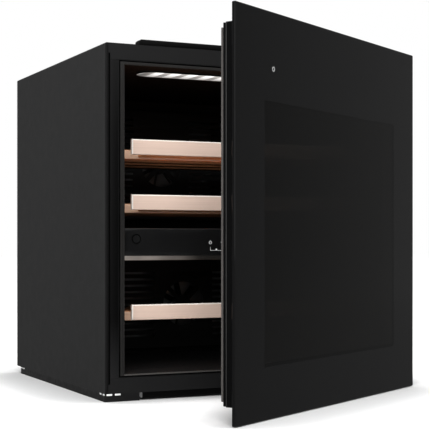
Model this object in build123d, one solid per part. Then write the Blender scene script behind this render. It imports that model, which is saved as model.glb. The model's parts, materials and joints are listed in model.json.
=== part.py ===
from build123d import *
import os

# Built-in wine cooler with two temperature zones and a full glass door, in millimetres.
# X runs to the right, Y to the back and Z up. The origin is the middle of the base on the floor.

# Case
case_width = 552.0
case_depth = 510.0
case_height = 568.6
base_height = 13.0
sheet = 1.0
bend_radius = 3.0
front_thickness = 2.0
wrapper_return = 6.0
jamb_groove = 3.0
jamb_groove_depth = 1.4
jamb_groove_overrun = 10.0
jamb_width = 14.5
top_band = 26.5
bottom_band = 25.0

# Base tray and the strips above and below the case
base_rear_inset = 24.0
base_floor = 3.0
base_rim = 10.0
slot_length = 10.6
slot_height = 3.5
slot_pitch = 14.5
slot_first = 2.4
strip_end_inset = 60.0
strip_depth = 20.0
top_strip_height = 9.0
strip_floor_gap = 3.5
strip_chamfer = 3.0
fixing_spacing = 300.0
fixing_hole_radius = 2.25

# Inner liner and its two zones
cavity_side_inset = 34.5
cavity_top_inset = 34.6
cavity_bottom_inset = 30.5
liner_wall = 2.0
back_insulation = 40.0

# Divider with the control panel
divider_level = 222.8
divider_height = 45.7
panel_recess = 20.0
panel_thickness = 4.0
panel_corner = 1.5
divider_wall = 2.5
cap_radius = 8.5
cap_inset = 62.0
cap_rise = 27.9
cap_proud = 0.6
board_width = 190.0
board_height = 30.0
board_thickness = 1.6
light_strip_height = 7.0
light_strip_depth = 12.0
light_strip_end_gap = 5.0
light_strip_round = 2.3

# Ceiling light
ceiling_light_length = 384.0
ceiling_light_width = 55.0
ceiling_light_recess = 45.0
ceiling_light_thickness = 2.5
led_board_length = 330.0
led_board_width = 20.0
led_board_thickness = 1.2

# Shelves: two stand over the divider and one over the floor of the lower zone
upper_shelf_rise = 31.0
upper_shelf_pitch = 92.5
lower_shelf_rise = 84.7
front_board_end_gap = 28.5
front_board_height = 25.9
front_board_thickness = 6.0
front_board_round = 1.5
shelf_recess = 42.0
shelf_side_gap = 5.0
rail_width = 30.0
rail_height = 12.0
upper_rail_gap = 23.0
lower_rail_gap = 16.0
front_lip_depth = 50.0
front_lip_end_gap = 33.0
slat_depth = 24.0
slat_drop = 3.8
slat_pitch = 74.0
scallop_pitch = 100.5
body_scallop_radius = 42.0
body_scallop_sink = 6.0
neck_scallop_radius = 17.0
neck_scallop_sink = 5.0
runner_width = 12.0
runner_height = 6.0

# Air ducts, evaporators and fans
duct_half_width = 150.0
duct_wall = 2.0
upper_duct_depth = 43.0
lower_duct_depth = 32.0
upper_duct_gap = 24.0
lower_duct_gap = 13.0
vent_height = 4.0
vent_pitch = 12.0
vent_margin = 12.0
vent_fan_gap = 18.0
evaporator_half_width = 130.0
evaporator_margin = 12.0
evaporator_plate = 1.6
channel_width = 6.0
channel_rise = 3.0
channel_pitch = 18.0
fan_tip_radius = 42.0
fan_hub_radius = 17.0
fan_motor_radius = 16.0
fan_motor_height = 9.0
fan_rotor_height = 9.0
fan_shaft_radius = 2.0
fan_arm_width = 8.0
fan_arm_thickness = 3.0
fan_seat = 6.0
blade_count = 7
blade_thickness = 1.4
blade_pitch = 35.0
sensor_width = 14.0
sensor_height = 26.0
sensor_proud = 8.0
sensor_round = 2.0
sensor_place = 220.0

# Machine bay
bay_depth = 138.0
bay_insulation = 25.0
plate_thickness = 2.0
compressor_place = -130.0
compressor_radius = 50.0
compressor_height = 125.0
compressor_round = 20.0
compressor_foot = 3.0
compressor_foot_length = 150.0
compressor_foot_width = 100.0
relay_proud = 22.0
relay_width = 44.0
relay_rise = 42.0
relay_height = 42.0
discharge_rise = 87.5
suction_rise = 50.0
grommet_radius = 9.0
grommet_height = 8.0
tray_length = 120.0
tray_width = 90.0
tray_height = 22.0
tray_wall = 1.5
drain_radius = 8.0
drain_bore = 6.0
coil_tube_radius = 3.0
coil_side_gap = 45.0
coil_length = 130.0
coil_pitch = 22.0
coil_bend_gap = 0.2
coil_runs = 7
coil_setback = 28.0
coil_rise = 25.0
saddle_width = 8.0
shroud_size = 110.0
shroud_height = 150.0
shroud_depth = 25.0
shroud_gap = 15.0
pipe_radius = 3.0
pipe_bend = 12.0
pipe_lead = 60.0
pipe_spacing = 20.0
dryer_radius = 8.0
dryer_length = 70.0
capillary_radius = 1.2
cover_slot_width = 4.0
cover_slot_height = 60.0
cover_slot_pitch = 16.0
cover_slots = 14
lower_slot_row = 72.5
upper_slot_row = 157.0
cover_screw_inset = 13.6
inlet_width = 48.0
inlet_height = 28.0
inlet_depth = 18.0
inlet_rim = 3.0
inlet_flange = 2.0
inlet_place = -215.0
inlet_drop = 42.0
inlet_pin_radius = 2.0
inlet_pin_length = 9.0
inlet_pin_pitch = 9.6

# Door, drawn shut and then turned open about its pins
door_width = 595.0
door_height = 593.0
door_floor_gap = 1.0
door_thickness = 42.0
door_open_angle = 31.32
glass_thickness = 5.0
glass_corner = 2.0
frame_side_inset = 19.5
frame_end_inset = 23.5
frame_depth = 24.0
window_side_margin = 80.0
window_top_margin = 130.5
window_bottom_margin = 82.5
spacer_width = 8.0
pane_thickness = 4.0
pane_overlap = 8.0
trim_step = 1.0
trim_depth = 4.0
gasket_side_inset = 27.5
gasket_end_inset = 29.5
gasket_width = 14.0
gasket_round = 2.0

# Hinges
pivot_inset = 27.5
pivot_setback = 15.0
pin_radius = 4.0
pin_depth = 18.0
pin_head_radius = 6.0
pin_head_height = 2.4
bush_radius = 6.0
bush_flange_radius = 7.5
bush_flange = 0.7
bracket_thickness = 3.0
bracket_nose_radius = 9.0
bracket_arm = 30.0
bracket_arm_tail = 4.5
bracket_screw_room = 60.0
bracket_screw_pitch = 30.0
bracket_plate_thickness = 2.0
bracket_band_height = 13.0
screw_radius = 1.9
screw_head_radius = 3.4
screw_head_height = 1.8

# Clearances
fit = 0.3
running_fit = 0.05
screw_fit = 0.1
over = 1.0

# Places worked out from the sizes above
half_width = case_width / 2
front = -case_depth / 2
rear = case_depth / 2
bottom = base_height
top = bottom + case_height
side_band = wrapper_return + jamb_groove + jamb_width
cavity_half = half_width - cavity_side_inset
cavity_bottom = bottom + cavity_bottom_inset
cavity_top = top - cavity_top_inset
divider_low = bottom + divider_level
divider_top = divider_low + divider_height
bay_front = rear - bay_depth
upper_back = rear - back_insulation - liner_wall
lower_back = bay_front - bay_insulation - liner_wall
panel_front = front + panel_recess
panel_back = panel_front + panel_thickness
bay_top = divider_top - liner_wall - bay_insulation
bay_middle = (bay_front + rear) / 2
plate_top = bottom + plate_thickness
coil_right = half_width - sheet - coil_side_gap
coil_left = coil_right - coil_length
second_shelf_low = divider_top + upper_shelf_rise
shelf_lows = (second_shelf_low + upper_shelf_pitch, second_shelf_low, cavity_bottom + lower_shelf_rise)
front_board_half = cavity_half - front_board_end_gap
door_half = door_width / 2
door_bottom = door_floor_gap
door_top = door_bottom + door_height
door_face = front - door_thickness
glass_back = door_face + glass_thickness
frame_back = glass_back + frame_depth
trim_back = frame_back + trim_depth
frame_low = door_bottom + frame_end_inset
frame_high = door_top - frame_end_inset
pivot_x = door_half - pivot_inset
pivot_y = door_face + pivot_setback


def block(x_range, y_range, z_range):
    """A box between two corners, each range given as low and high."""
    size = [high - low for low, high in (x_range, y_range, z_range)]
    middle = [(high + low) / 2 for low, high in (x_range, y_range, z_range)]
    return Pos(*middle) * Box(*size)


def both_sides(x_range, y_range, z_range):
    """A box on the right and its mirror image on the left."""
    right = block(x_range, y_range, z_range)
    left = block((-x_range[1], -x_range[0]), y_range, z_range)
    return [left, right]


def ring(outer_half, outer_z, inner_half, inner_z, y_range):
    """A rectangular ring that stands upright, with its opening along Y."""
    outer = block((-outer_half, outer_half), y_range, outer_z)
    inner = block((-inner_half, inner_half), (y_range[0] - over, y_range[1] + over), inner_z)
    return outer - inner


def rod(radius, start, direction, length):
    """A cylinder from a point along a direction."""
    place = Plane(origin=start, z_dir=direction)
    return place * Cylinder(radius, length, align=(Align.CENTER, Align.CENTER, Align.MIN))


def tube(points, radius, bend):
    """A pipe along straight runs joined by arcs."""
    path = FilletPolyline(*points, radius=bend)
    return sweep(Plane(path @ 0, z_dir=path % 0) * Circle(radius), path=path)


def save(name, *pieces):
    """Write one node, which can hold several separate solids."""
    solids = [solid for piece in pieces for solid in piece.solids()]
    export_step(Compound(solids), f"parts/{name}.step")


def bent_block(half, y_range, z_range, radius):
    """A box whose upright front edges and long top edges are rounded as a bent sheet is."""
    whole = block((-half, half), y_range, z_range)
    upright = whole.edges().filter_by(Axis.Z).group_by(Axis.Y)[0]
    along_top = whole.edges().filter_by(Axis.Y).group_by(Axis.Z)[-1]
    return fillet(upright + along_top, radius)


def wrapper_inside():
    """The space inside the folded sheet, open below and behind."""
    return bent_block(
        half_width - sheet,
        (front + sheet, rear + over),
        (bottom - over, top - sheet),
        bend_radius - sheet,
    )


def outer_wrapper():
    """One folded sheet: both sides, the top and the narrow front returns."""
    outside = bent_block(half_width, (front, rear), (bottom, top), bend_radius)
    mouth_half = half_width - wrapper_return
    mouth_y = (front - over, front + sheet + over)
    mouth = block((-mouth_half, mouth_half), mouth_y, (bottom - over, top - sheet))
    return outside - wrapper_inside() - mouth


def front_rail(z_range, screw_height):
    """A band across the front of the case, drilled for the screws of one hinge bracket."""
    rail_half = half_width - wrapper_return
    band = block((-rail_half, rail_half), (front, front + front_thickness), z_range)
    for x in bracket_screw_places():
        start = (x, front - over, screw_height)
        band -= rod(screw_radius + screw_fit, start, (0, 1, 0), front_thickness + 2 * over)
    for groove in jamb_grooves():
        band -= groove
    return band


def jamb_grooves():
    """The grooves beside the opening, which run on a little into the bands above and below."""
    outer = half_width - wrapper_return
    y_range = (front - over, front + jamb_groove_depth)
    z_range = (bottom + bottom_band - jamb_groove_overrun, top - top_band + jamb_groove_overrun)
    return both_sides((outer - jamb_groove, outer + over), y_range, z_range)


def jamb_strips():
    """The dark strips that the gasket closes on, beside the opening, grooved on their outer sides."""
    x_range = (half_width - side_band, half_width - wrapper_return)
    strips = both_sides(x_range, (front, front + front_thickness), (bottom + bottom_band, top - top_band))
    return [strip - groove for strip, groove in zip(strips, jamb_grooves())]


def liner_spaces(grow):
    """The two zones as one space, or the liner's outside where grow is its wall."""
    half = cavity_half + grow
    mouth = front + front_thickness if grow else front - over
    upper = block((-half, half), (mouth, upper_back + grow), (divider_top - grow, cavity_top + grow))
    lower = block((-half, half), (mouth, lower_back + grow), (cavity_bottom - grow, divider_top + over))
    return upper + lower


def drain_place():
    """Where the drain leaves the floor of the upper zone."""
    return compressor_place, bay_middle


def inner_liner():
    """The moulded inside of both zones with the flange round the mouth."""
    flange_z = (bottom + bottom_band, top - top_band)
    flange_half = half_width - side_band
    flange = block((-flange_half, flange_half), (front, front + front_thickness), flange_z)
    shell = liner_spaces(liner_wall) + flange - liner_spaces(0)
    drain_start = (*drain_place(), divider_top - 2 * liner_wall)
    return shell - rod(drain_bore, drain_start, (0, 0, 1), 3 * liner_wall)


def insulation_foam():
    """Foam between the wrapper and the liner, with the machine bay left out."""
    whole = block((-half_width, half_width), (front + front_thickness, rear - sheet), (bottom + sheet, top))
    bay = block((-half_width, half_width), (bay_front - sheet, rear), (bottom, bay_top + sheet))
    drain_x, drain_y = drain_place()
    drain = rod(drain_radius + fit, (drain_x, drain_y, bay_top), (0, 0, 1), divider_top - bay_top)
    return (whole & wrapper_inside()) - liner_spaces(liner_wall) - bay - drain


def machine_bay_panel():
    """The folded sheet that lines the front and the roof of the machine bay."""
    inside_half = half_width - sheet
    x_range = (-inside_half, inside_half)
    wall = block(x_range, (bay_front - sheet, bay_front), (bottom + sheet, bay_top + sheet))
    roof = block(x_range, (bay_front - sheet, rear - sheet), (bay_top, bay_top + sheet))
    drain_x, drain_y = drain_place()
    drain = rod(drain_radius + fit, (drain_x, drain_y, bay_top - over), (0, 0, 1), sheet + 2 * over)
    return wall + roof - drain


def bottom_plate():
    """The sheet under the cold space, up to the machine bay."""
    plate = block((-half_width, half_width), (front + front_thickness, bay_front), (bottom, bottom + sheet))
    return plate & wrapper_inside()


def machine_plate():
    """The thick sheet that carries the compressor, the coil and the fan."""
    inside_half = half_width - sheet
    return block((-inside_half, inside_half), (bay_front, rear - sheet), (bottom, plate_top))


def back_panel():
    """The sheet behind the upper zone."""
    panel = block((-half_width, half_width), (rear - sheet, rear), (bay_top + sheet, top))
    return panel & wrapper_inside()


def base_tray():
    """A shallow tray that stands on the floor, with slots through its rim at each corner."""
    strip_half = half_width - strip_end_inset
    back = rear - base_rear_inset
    outside = block((-half_width, half_width), (front, back), (0, bottom))
    outside = fillet(outside.edges().filter_by(Axis.Z), bend_radius)
    hollow = block(
        (-half_width + base_rim, half_width - base_rim),
        (front + strip_depth + base_rim, back - base_rim),
        (base_floor, bottom + over),
    )
    strip_room = block(
        (-strip_half - fit, strip_half + fit),
        (front - over, front + strip_depth + fit),
        (-over, bottom + over),
    )
    corner_half = half_width - base_rim
    corner_rooms = both_sides(
        (strip_half - base_rim, corner_half),
        (front + base_rim, front + strip_depth + base_rim + over),
        (base_floor, bottom + over),
    )
    tray = outside - hollow - strip_room
    keep = block(
        (-strip_half - base_rim, strip_half + base_rim),
        (front + strip_depth + fit, front + strip_depth + base_rim),
        (0, bottom),
    )
    for room in corner_rooms:
        tray -= room - keep
    slot_z = (bottom - slot_height, bottom + over)
    for number in range(2):
        start = slot_first + number * slot_pitch
        across = (half_width - start - slot_length, half_width - start)
        for slot in both_sides(across, (front - over, front + base_rim + over), slot_z):
            tray -= slot
        for begin in (front + start, back - start - slot_length):
            along = (begin, begin + slot_length)
            for slot in both_sides((half_width - base_rim - over, half_width + over), along, slot_z):
                tray -= slot
    return tray


def strip(z_range, chamfer_edges):
    """A long bar along the front, shorter than the case at both ends."""
    strip_half = half_width - strip_end_inset
    bar = block((-strip_half, strip_half), (front, front + strip_depth), z_range)
    return chamfer(chamfer_edges(bar.edges().filter_by(Axis.Y)), strip_chamfer)


def top_strip():
    """The bar on top of the case, with two screw holes that fix the cooler in its niche."""
    bar = strip((top, top + top_strip_height), lambda edges: edges.group_by(Axis.Z)[-1])
    for side in (-1, 1):
        place = (side * fixing_spacing / 2, front + strip_depth / 2, top - over)
        bar -= rod(fixing_hole_radius, place, (0, 0, 1), top_strip_height + 2 * over)
    return bar


def bottom_strip():
    """The bar under the case, in the gap at the front of the base tray."""
    return strip((strip_floor_gap, bottom), lambda edges: edges.group_by(Axis.Z)[0])


def divider_core():
    """The foam inside the divider, from behind the control board to the liner."""
    half = cavity_half - fit - divider_wall
    begin = panel_back + board_thickness + 2 * over + divider_wall
    return block((-half, half), (begin, lower_back), (divider_low + divider_wall, divider_top - divider_wall))


def zone_divider():
    """The shell of the shelf between the zones, with a pocket for the control board."""
    half = cavity_half - fit
    body = block((-half, half), (panel_back, lower_back), (divider_low, divider_top))
    middle = (divider_low + divider_top) / 2
    pocket_half = board_width / 2 + over
    pocket = block(
        (-pocket_half, pocket_half),
        (panel_back - over, panel_back + board_thickness + 2 * over),
        (middle - board_height / 2 - over, middle + board_height / 2 + over),
    )
    return body - pocket - divider_core()


def control_board():
    """The circuit board behind the control panel."""
    middle = (divider_low + divider_top) / 2
    return block(
        (-board_width / 2, board_width / 2),
        (panel_back, panel_back + board_thickness),
        (middle - board_height / 2, middle + board_height / 2),
    )


def cap_places():
    """The two round caps, as the points where their axes meet the panel's face."""
    offset = half_width - cap_inset
    return [(side * offset, panel_front, divider_low + cap_rise) for side in (-1, 1)]


def control_panel():
    """The black face of the divider, with two round holes."""
    half = cavity_half - fit
    panel = block((-half, half), (panel_front, panel_back), (divider_low, divider_top))
    panel = fillet(panel.edges().group_by(Axis.Y)[0].filter_by(Axis.X), panel_corner)
    for x, y, z in cap_places():
        panel -= rod(cap_radius + screw_fit, (x, y - over, z), (0, 1, 0), panel_thickness + 2 * over)
    return panel


def panel_caps():
    """Round caps over the panel's fixing screws."""
    caps = []
    for x, y, z in cap_places():
        caps.append(rod(cap_radius, (x, y - cap_proud, z), (0, 1, 0), panel_thickness + cap_proud))
    return caps


def divider_light():
    """The light bar under the front of the divider."""
    half = cavity_half - light_strip_end_gap
    bar = block(
        (-half, half),
        (panel_front + over, panel_front + over + light_strip_depth),
        (divider_low - light_strip_height, divider_low),
    )
    lower_edges = bar.edges().filter_by(Axis.X).group_by(Axis.Z)[0]
    return fillet(lower_edges, light_strip_round)


def ceiling_light():
    """The lens under the ceiling, hollowed for its light board."""
    middle_y = front + ceiling_light_recess + ceiling_light_width / 2
    outline = SlotOverall(ceiling_light_length, ceiling_light_width)
    lens = Pos(0, middle_y, cavity_top - ceiling_light_thickness) * extrude(outline, ceiling_light_thickness)
    pocket = block(
        (-led_board_length / 2 - over, led_board_length / 2 + over),
        (middle_y - led_board_width / 2 - over, middle_y + led_board_width / 2 + over),
        (cavity_top - led_board_thickness - over, cavity_top + over),
    )
    return lens - pocket


def led_board():
    """The light board inside the ceiling lens."""
    middle_y = front + ceiling_light_recess + ceiling_light_width / 2
    return block(
        (-led_board_length / 2, led_board_length / 2),
        (middle_y - led_board_width / 2, middle_y + led_board_width / 2),
        (cavity_top - led_board_thickness, cavity_top),
    )


def rail_end(low):
    """How far back a shelf's rails go: up to a gap before the duct cover of its zone."""
    if low > divider_top:
        return upper_back - upper_duct_depth - upper_rail_gap
    return lower_back - lower_duct_depth - lower_rail_gap


def front_board(low):
    """The pale facing board at the front of a shelf."""
    y_low = front + shelf_recess
    bar = block(
        (-front_board_half, front_board_half),
        (y_low, y_low + front_board_thickness),
        (low, low + front_board_height),
    )
    return fillet(bar.edges().group_by(Axis.Y)[0], front_board_round)


def scallops(y_low, y_high, slat_top, inner):
    """What is cut from the top of a slat: rests for bottles and, between them, for necks."""
    bottles = int(2 * inner // scallop_pitch)
    cuts = []
    for number in range(2 * bottles - 1):
        x = (number - (bottles - 1)) * scallop_pitch / 2
        radius, sink = body_scallop_radius, body_scallop_sink
        if number % 2:
            radius, sink = neck_scallop_radius, neck_scallop_sink
        start = (x, y_low - over, slat_top - sink + radius)
        cuts.append(rod(radius, start, (0, 1, 0), y_high - y_low + 2 * over))
    return cuts


def shelf_frame(shelf_low):
    """Two side rails and the scalloped slats between them; the first slat has a lip for the board."""
    outer = cavity_half - shelf_side_gap
    inner = outer - rail_width
    board_back = front + shelf_recess + front_board_thickness
    begin = board_back + front_lip_depth
    end = rail_end(shelf_low)
    top = shelf_low + rail_height
    pieces = both_sides((inner, outer), (begin, end), (shelf_low, top))
    slat_count = int((end - begin - slat_depth) // slat_pitch) + 1
    lip_half = front_board_half - front_lip_end_gap
    for number in range(slat_count):
        y_low = begin + number * slat_pitch
        y_high = y_low + slat_depth
        slat = block((-inner, inner), (y_low, y_high), (shelf_low - slat_drop, top))
        if number == 0:
            y_low = board_back
            slat += block((-lip_half, lip_half), (y_low, begin + over), (shelf_low, top))
        for cut in scallops(y_low, y_high, top, inner):
            slat -= cut
        pieces.append(slat)
    return pieces


def shelf_runners():
    """Ledges on the liner walls that carry the side rails."""
    ledges = []
    for low in shelf_lows:
        y_range = (front + shelf_recess + front_board_thickness, rail_end(low))
        z_high = low - fit
        x_range = (cavity_half - runner_width, cavity_half)
        ledges += both_sides(x_range, y_range, (z_high - runner_height, z_high))
    return ledges


def duct_zones():
    """For each zone: the duct's back wall, depth and height range, upper zone first."""
    upper = (upper_back, upper_duct_depth, (divider_top + upper_duct_gap, cavity_top - upper_duct_gap))
    lower = (lower_back, lower_duct_depth, (cavity_bottom + lower_duct_gap, divider_low - lower_duct_gap))
    return upper, lower


def fan_place(zone):
    """The fan's middle on the back face of its duct cover, looking to the rear."""
    back, depth, (low, high) = zone
    return Plane(origin=(0, back - depth + duct_wall, (low + high) / 2), x_dir=(1, 0, 0), z_dir=(0, 1, 0))


def duct_cover(zone):
    """A shallow box over the evaporator, with the fan's hole and rows of air slots."""
    back, depth, (low, high) = zone
    face = back - depth
    cover = block((-duct_half_width, duct_half_width), (face, back), (low, high))
    hollow_half = duct_half_width - duct_wall
    hollow_z = (low + duct_wall, high - duct_wall)
    cover -= block((-hollow_half, hollow_half), (face + duct_wall, back + over), hollow_z)
    hole = fan_tip_radius + over
    cover -= rod(hole, (0, face - over, (low + high) / 2), (0, 1, 0), duct_wall + 2 * over)
    x_range = (hole + vent_fan_gap, duct_half_width - vent_margin)
    y_range = (face - over, face + duct_wall + over)
    rows = int((high - low - 2 * vent_margin) // vent_pitch)
    first = (low + high) / 2 - (rows - 1) * vent_pitch / 2
    for row in range(rows):
        middle = first + row * vent_pitch
        for vent in both_sides(x_range, y_range, (middle - vent_height / 2, middle + vent_height / 2)):
            cover -= vent
    return cover


def fan_motor(arm_reach):
    """A small motor with its shaft, held by four arms. Drawn along +Z from the arms' seat."""
    upright = (Align.CENTER, Align.CENTER, Align.MIN)
    motor = Cylinder(fan_motor_radius, fan_motor_height, align=upright)
    motor += Cylinder(fan_shaft_radius, fan_motor_height + fan_rotor_height + 2 * fit, align=upright)
    for turn in (45, 135):
        motor += Rot(0, 0, turn) * Box(2 * arm_reach, fan_arm_width, fan_arm_thickness, align=upright)
    return motor


def fan_rotor():
    """A hub on the motor's shaft with slanted blades. Drawn like the motor."""
    low = fan_motor_height + fit
    hub = Pos(0, 0, low + fan_rotor_height / 2) * Cylinder(fan_hub_radius, fan_rotor_height)
    reach = fan_tip_radius - fan_hub_radius + over
    blade_middle = (fan_tip_radius + fan_hub_radius - over) / 2
    envelope = Pos(0, 0, low + fan_rotor_height / 2) * Cylinder(fan_tip_radius, fan_rotor_height)
    for number in range(blade_count):
        blade = Pos(blade_middle, 0, low + fan_rotor_height / 2) * Rot(blade_pitch, 0, 0) * Box(
            reach, blade_thickness, 3 * fan_rotor_height
        )
        hub += (Rot(0, 0, number * 360 / blade_count) * blade) & envelope
    return hub - Cylinder(fan_shaft_radius + running_fit, 4 * (low + fan_rotor_height))


def evaporator(zone):
    """A cold plate on the zone's back wall, with a serpentine channel raised on its face."""
    back, _, (low, high) = zone
    z_range = (low + duct_wall + evaporator_margin, high - duct_wall - evaporator_margin)
    half = evaporator_half_width
    plate_face = back - evaporator_plate
    plate = block((-half, half), (plate_face, back), z_range)
    y_range = (plate_face - channel_rise, plate_face)
    run_half = half - channel_width
    runs = int((z_range[1] - z_range[0] - 2 * channel_width) // channel_pitch) + 1
    for run in range(runs):
        z_low = z_range[0] + channel_width / 2 + run * channel_pitch
        plate += block((-run_half, run_half), y_range, (z_low, z_low + channel_width))
        if run:
            side = 1 if run % 2 else -1
            ends = sorted((side * run_half, side * (run_half - channel_width)))
            plate += block(ends, y_range, (z_low - channel_pitch, z_low + channel_width))
    return plate


def temperature_sensors():
    """One sensor housing on the left wall of each zone, over the top shelf and under the divider's light."""
    housings = []
    over_shelf = (shelf_lows[0] + rail_height + cavity_top + sensor_height) / 2
    under_light = divider_low - light_strip_height - sensor_height / 2
    y_range = (front + sensor_place - sensor_width / 2, front + sensor_place + sensor_width / 2)
    for high in (over_shelf, under_light):
        housing = block((-cavity_half, -cavity_half + sensor_proud), y_range, (high - sensor_height, high))
        outer_edges = housing.edges().group_by(Axis.X)[-1]
        housings.append(fillet(outer_edges, sensor_round))
    return housings


def compressor_low():
    """The underside of the compressor's foot plate."""
    return plate_top + grommet_height


def compressor_high():
    """The top of the compressor's shell."""
    return compressor_low() + compressor_foot + compressor_height


def compressor():
    """The sealed compressor on its foot plate, with a relay box on its side."""
    low = compressor_low()
    half_length = compressor_foot_length / 2
    half_depth = compressor_foot_width / 2
    foot = block(
        (compressor_place - half_length, compressor_place + half_length),
        (bay_middle - half_depth, bay_middle + half_depth),
        (low, low + compressor_foot),
    )
    shell_height = compressor_foot + compressor_height
    shell = rod(compressor_radius, (compressor_place, bay_middle, low), (0, 0, 1), shell_height)
    shell = fillet(shell.edges().group_by(Axis.Z)[-1], compressor_round)
    relay = block(
        (compressor_place - compressor_radius - relay_proud, compressor_place),
        (bay_middle - relay_width / 2, bay_middle + relay_width / 2),
        (low + relay_rise, low + relay_rise + relay_height),
    )
    return shell + foot + relay


def compressor_grommets():
    """Four rubber grommets under the compressor's foot plate."""
    reach_x = compressor_foot_length / 2 - grommet_radius
    reach_y = compressor_foot_width / 2 - grommet_radius
    grommets = []
    for x in (compressor_place - reach_x, compressor_place + reach_x):
        for y in (bay_middle - reach_y, bay_middle + reach_y):
            grommets.append(rod(grommet_radius, (x, y, plate_top), (0, 0, 1), grommet_height))
    return grommets


def drip_tray():
    """The tray on the compressor that melt water dries from."""
    low = compressor_high()
    half_length = tray_length / 2
    half_depth = tray_width / 2
    outside = block(
        (compressor_place - half_length, compressor_place + half_length),
        (bay_middle - half_depth, bay_middle + half_depth),
        (low, low + tray_height),
    )
    inside = block(
        (compressor_place - half_length + tray_wall, compressor_place + half_length - tray_wall),
        (bay_middle - half_depth + tray_wall, bay_middle + half_depth - tray_wall),
        (low + tray_wall, low + tray_height + over),
    )
    return outside - inside


def drain_tube():
    """The tube from the liner down into the drip tray."""
    low = compressor_high() + tray_height / 2
    high = divider_top - liner_wall
    drain_x, drain_y = drain_place()
    outside = rod(drain_radius, (drain_x, drain_y, low), (0, 0, 1), high - low)
    return outside - rod(drain_bore, (drain_x, drain_y, low - over), (0, 0, 1), high - low + 2 * over)


def coil_y():
    """The upright plane of the condenser coil."""
    return bay_front + coil_setback


def coil_height(run):
    """The height of one run of the condenser coil, counted from the lowest."""
    return plate_top + coil_rise + run * coil_pitch


def condenser_coil():
    """A serpentine tube on two saddles."""
    points = []
    for run in range(coil_runs):
        ends = [coil_left, coil_right] if run % 2 == 0 else [coil_right, coil_left]
        points += [(x, coil_y(), coil_height(run)) for x in ends]
    coil = tube(points, coil_tube_radius, coil_pitch / 2 - coil_bend_gap)
    saddles = []
    for x in (coil_left + coil_pitch, coil_right - coil_pitch):
        saddles.append(
            block(
                (x - saddle_width / 2, x + saddle_width / 2),
                (coil_y() - saddle_width, coil_y() + saddle_width),
                (plate_top, coil_height(0) - coil_tube_radius),
            )
        )
    return [coil] + saddles


def shroud_plane():
    """The seat of the condenser fan's arms, looking to the rear."""
    middle_x = coil_left + coil_length / 2
    middle_z = plate_top + shroud_height - shroud_size / 2
    return Plane(origin=(middle_x, coil_y() + shroud_gap, middle_z), x_dir=(1, 0, 0), z_dir=(0, 1, 0))


def condenser_shroud():
    """The upright plate with the condenser fan's tunnel, its arms and its motor."""
    middle = shroud_plane().origin
    plate = block(
        (middle.X - shroud_size / 2, middle.X + shroud_size / 2),
        (middle.Y, middle.Y + shroud_depth),
        (plate_top, plate_top + shroud_height),
    )
    hole = fan_tip_radius + over
    plate -= rod(hole, (middle.X, middle.Y - over, middle.Z), (0, 1, 0), shroud_depth + 2 * over)
    return plate + shroud_plane() * fan_motor(hole + over)


def pipe_bend_x():
    """The upright plane beside the compressor where the hot pipe rises."""
    return compressor_place + compressor_radius + pipe_lead


def discharge_pipe():
    """The hot pipe from the compressor to the top of the coil."""
    start = (compressor_place + compressor_radius, bay_middle, compressor_low() + discharge_rise)
    high = coil_height(coil_runs - 1)
    bend_x = pipe_bend_x()
    end = (coil_left, coil_y(), high)
    if (coil_runs - 1) % 2 == 0:
        end = (coil_right, coil_y(), high)
    riser = high + pipe_lead / 2
    turn_x = end[0] + (pipe_lead / 2 if end[0] > coil_left else -pipe_lead / 2)
    points = [
        start,
        (bend_x, start[1], start[2]),
        (bend_x, start[1], riser),
        (bend_x, end[1], riser),
        (turn_x, end[1], riser),
        (turn_x, end[1], high),
        end,
    ]
    return tube(points, pipe_radius, pipe_bend)


def suction_pipe():
    """The cold pipe from the bay's roof back to the compressor."""
    end = (compressor_place + compressor_radius, bay_middle, compressor_low() + suction_rise)
    turn_x = pipe_bend_x() + pipe_spacing
    points = [(turn_x, bay_middle, bay_top), (turn_x, bay_middle, end[2]), end]
    return tube(points, pipe_radius, pipe_bend)


def dryer():
    """The dryer at the lower end of the coil."""
    return rod(dryer_radius, (coil_left - dryer_length, coil_y(), coil_height(0)), (1, 0, 0), dryer_length)


def capillary():
    """The thin pipe from the dryer up into the insulation."""
    start = (coil_left - dryer_length, coil_y(), coil_height(0))
    turn_x = pipe_bend_x() - pipe_spacing
    points = [start, (turn_x, start[1], start[2]), (turn_x, start[1], bay_top)]
    return tube(points, capillary_radius, pipe_bend)


def inlet_height_middle():
    """The middle of the power inlet on the rear cover."""
    return bay_top - inlet_drop


def rear_cover():
    """The slotted sheet over the machine bay."""
    half = half_width - sheet - fit
    cover = block((-half, half), (rear - sheet, rear), (bottom, bay_top + sheet - fit))
    through = (rear - sheet - over, rear + over)
    span = (cover_slots - 1) * cover_slot_pitch
    for row in (bottom + lower_slot_row, bottom + upper_slot_row):
        for number in range(cover_slots):
            x = number * cover_slot_pitch - span / 2 + cover_slot_pitch
            cover -= block(
                (x - cover_slot_width / 2, x + cover_slot_width / 2),
                through,
                (row - cover_slot_height / 2, row + cover_slot_height / 2),
            )
    middle = inlet_height_middle()
    cover -= block(
        (inlet_place - inlet_width / 2 - fit, inlet_place + inlet_width / 2 + fit),
        through,
        (middle - inlet_height / 2 - fit, middle + inlet_height / 2 + fit),
    )
    for x, z in cover_screw_places():
        cover -= rod(screw_radius + screw_fit, (x, rear - sheet - over, z), (0, 1, 0), sheet + 2 * over)
    return cover


def cover_screw_places():
    """Screws near the corners of the rear cover and at the middle of its ends."""
    reach = half_width - sheet - cover_screw_inset
    heights = (bottom + cover_screw_inset, (bottom + bay_top) / 2, bay_top - cover_screw_inset)
    return [(side * reach, z) for side in (-1, 1) for z in heights]


def rear_cover_screws():
    """Screws that hold the rear cover."""
    screws = []
    for x, z in cover_screw_places():
        head = rod(screw_head_radius, (x, rear, z), (0, 1, 0), screw_head_height)
        screws.append(head + rod(screw_radius, (x, rear - 2 * sheet, z), (0, 1, 0), 2 * sheet + over))
    return screws


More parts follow.
